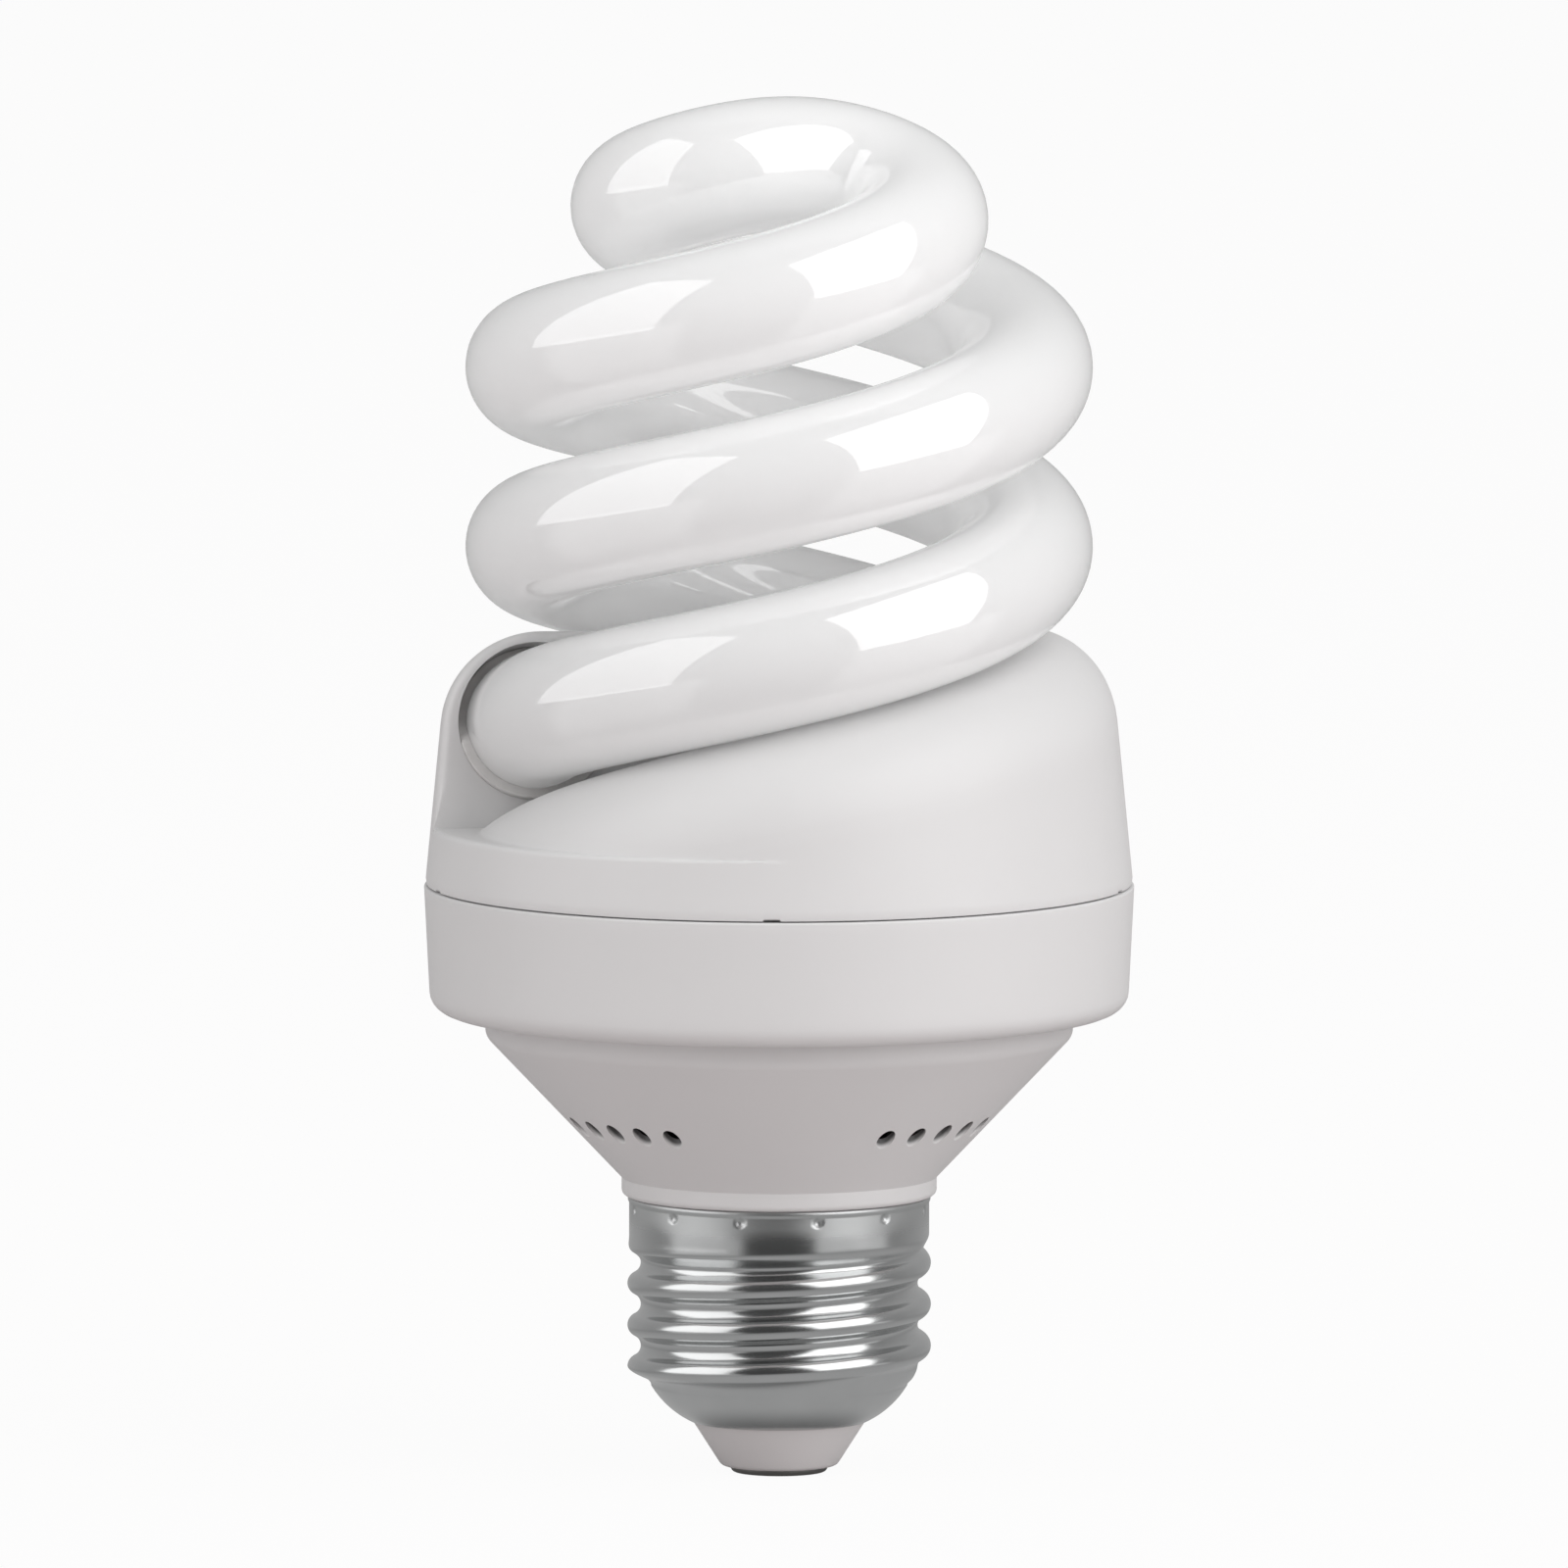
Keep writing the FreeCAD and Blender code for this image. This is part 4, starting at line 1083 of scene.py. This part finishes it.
# floor, light and camera
studio = {
    "floorLevel": 0.58,
    "floorWhite": 0.95,
    "worldWhite": 0.975,
    "floorSize": 3000.0,
    "floorWarmth": 0.09,
    "fill": 0.43,
    "fillLean": 0.19,
    "fillFront": 0.17,
    "back": 0.42,
    "front": 0.06,
    "near": 0.36,
    "paintedBoxReflection": 0.45,
    "boxFrom": 27.0,
    "boxTo": 88.0,
    "boxFromEdge": 4.0,
    "boxToEdge": 6.0,
    "paleFrom": 20.0,
    "paleTo": 150.0,
    "nearFrom": 110.0,
    "nearTo": 40.0,
    "speckle": 0.01,
    "speckleScale": 40.0,
    "speckleDetail": 2.0,
    "floorRoughness": 0.9,
}
# painted light and shadow on the floor near the bulb, seen only in mirrors such as the shell's bowl: dark
# at the contact, a pale ring, then dimmer; levels, and the radii where they change
paintedPool = {"middle": 0.5, "rise": 0.75, "riseFrom": 5.0, "riseTo": 12.0, "fall": 0.35, "fallFrom": 18.0,
        "fallTo": 70.0}
lamps = [
    {"name": "leftBox", "azimuth": -70.0, "lift": 747.0, "reach": 900.0, "width": 1040.0,
     "height": 1584.0, "tilt": 0.0, "radiance": 1.33},
    {"name": "rightBox", "azimuth": 51.0, "lift": 477.0, "reach": 763.0, "width": 880.0,
     "height": 1283.0, "tilt": 32.0, "radiance": 1.98},
]
shot = {"distance": 4000.0, "elevation": 6.2, "aimX": 0.42, "aimZ": 59.9, "focal": 47160.0,
        "pixels": 1600.0, "sensor": 36.0}


def azimuthOf(sheet, x, y):
    # degrees from the camera's side, to the left or to the right
    return sheet.math("ABSOLUTE", sheet.math("ARCTAN2", x, y * -1)) * (180 / math.pi)


def roomGlow(sheet, azimuth):
    # what polished surfaces see round the bulb: dark at the camera's side, pale behind
    behind = sheet.smoothStep(azimuth, studio["paleFrom"], studio["paleTo"])
    return behind * (studio["back"] - studio["front"]) + studio["front"]


def paintedBoxReflection(sheet, azimuth):
    # painted reflections of the light boxes on the floor, one on each side, seen only by mirrored rays
    nearEdge, farEdge = studio["boxFromEdge"], studio["boxToEdge"]
    enter = sheet.smoothStep(azimuth, studio["boxFrom"] - nearEdge, studio["boxFrom"] + nearEdge)
    leave = sheet.smoothStep(azimuth, studio["boxTo"] + farEdge, studio["boxTo"] - farEdge)
    return enter * leave * studio["paintedBoxReflection"]


def makeFloor():
    half = studio["floorSize"]
    corners = [(-half, -half, 0), (half, -half, 0), (half, half, 0), (-half, half, 0)]
    floor = newPiece("floor", corners, [(0, 1, 2, 3)])
    material, sheet, shader = makeMaterial("floorPaint", {"Roughness": studio["floorRoughness"]})
    speckle = objectNoise(sheet, studio["speckleScale"], studio["speckleDetail"])
    dark = grey(studio["floorLevel"] - studio["speckle"], studio["floorWarmth"])
    light = grey(studio["floorLevel"] + studio["speckle"], studio["floorWarmth"])
    sheet.plug(shader.inputs["Base Color"], sheet.mixColor(speckle, dark, light))
    x, y, _ = sheet.parts(sheet.place())
    azimuth = azimuthOf(sheet, x, y)
    # mirrored rays see painted light on the floor: the room's brightness, the painted box reflections and,
    # near the bulb, painted light with a painted shadow at the contact
    room = roomGlow(sheet, azimuth) + paintedBoxReflection(sheet, azimuth)
    away = sheet.math("SQRT", x * x + y * y) / mm
    near = sheet.smoothStep(away, studio["nearFrom"], studio["nearTo"])
    climb = sheet.smoothStep(away, paintedPool["riseFrom"], paintedPool["riseTo"]) * paintedPool["rise"]
    drop = sheet.smoothStep(away, paintedPool["fallFrom"], paintedPool["fallTo"]) * paintedPool["fall"]
    paintedPoolLevel = (paintedPool["middle"] + climb - drop) * studio["near"]
    paintedMirrorGlow = room * (1 - near) + paintedPoolLevel * near
    white = sheet.add("ShaderNodeEmission", {}, {"Color": grey(1.0), "Strength": 1.0})
    gloss = sheet.add("ShaderNodeEmission", {}, {"Color": grey(1.0), "Strength": paintedMirrorGlow})
    seen, mirror = sheet.rays()
    mixed = sheet.mixShader(seen * studio["floorWhite"], Wire(sheet, shader.outputs[0]), white)
    mixed = sheet.mixShader(mirror, mixed, gloss)
    sheet.plug(sheet.tree.nodes["Material Output"].inputs["Surface"], mixed)
    floor.data.materials.append(material)


def makeWorld():
    world = bpy.data.worlds.new("studioWorld")
    scene.world = world
    world.use_nodes = True
    sheet = Sheet(world.node_tree)
    sheet.tree.nodes.clear()
    x, y, _ = sheet.parts(sheet.place("Generated"))
    lean = x * studio["fillLean"] - y * studio["fillFront"] + studio["fill"]
    room = roomGlow(sheet, azimuthOf(sheet, x, y))
    fill, gloss, white = [sheet.add("ShaderNodeBackground", {}, {"Color": grey(1.0), "Strength": strength})
                          for strength in (lean, room, studio["worldWhite"])]
    seen, mirror = sheet.rays()
    mixed = sheet.mixShader(seen, sheet.mixShader(mirror, fill, gloss), white)
    exitNode = sheet.tree.nodes.new("ShaderNodeOutputWorld")
    sheet.plug(exitNode.inputs["Surface"], mixed)


def direction(azimuth, elevation):
    # 0 is towards the camera, positive to its right
    a, e = math.radians(azimuth), math.radians(elevation)
    return Vector((math.sin(a) * math.cos(e), -math.cos(a) * math.cos(e), math.sin(e)))


def makeLamp(plan):
    light = bpy.data.lights.new(plan["name"], "AREA")
    light.shape = "RECTANGLE"
    light.size = plan["width"] * mm
    light.size_y = plan["height"] * mm
    light.energy = plan["radiance"] * math.pi * light.size * light.size_y
    lamp = bpy.data.objects.new(plan["name"], light)
    spot = direction(plan["azimuth"], 0) * plan["reach"] + Vector((0, 0, seamZ + plan["lift"]))
    lamp.location = spot * mm
    lamp.rotation_euler = direction(plan["azimuth"], plan["tilt"]).to_track_quat("Z", "Y").to_euler()
    scene.collection.objects.link(lamp)


def makeCamera():
    data = bpy.data.cameras.new("photoCamera")
    data.sensor_width = shot["sensor"]
    data.lens = data.sensor_width * shot["focal"] / shot["pixels"]
    camera = bpy.data.objects.new("photoCamera", data)
    aim = Vector((shot["aimX"], 0, shot["aimZ"])) * mm
    away = direction(0, shot["elevation"])
    camera.location = aim + away * (shot["distance"] * mm)
    camera.rotation_euler = away.to_track_quat("Z", "Y").to_euler()
    scene.collection.objects.link(camera)
    scene.camera = camera


makeFloor()
makeWorld()
for plan in lamps:
    makeLamp(plan)
makeCamera()
print("studio ready")
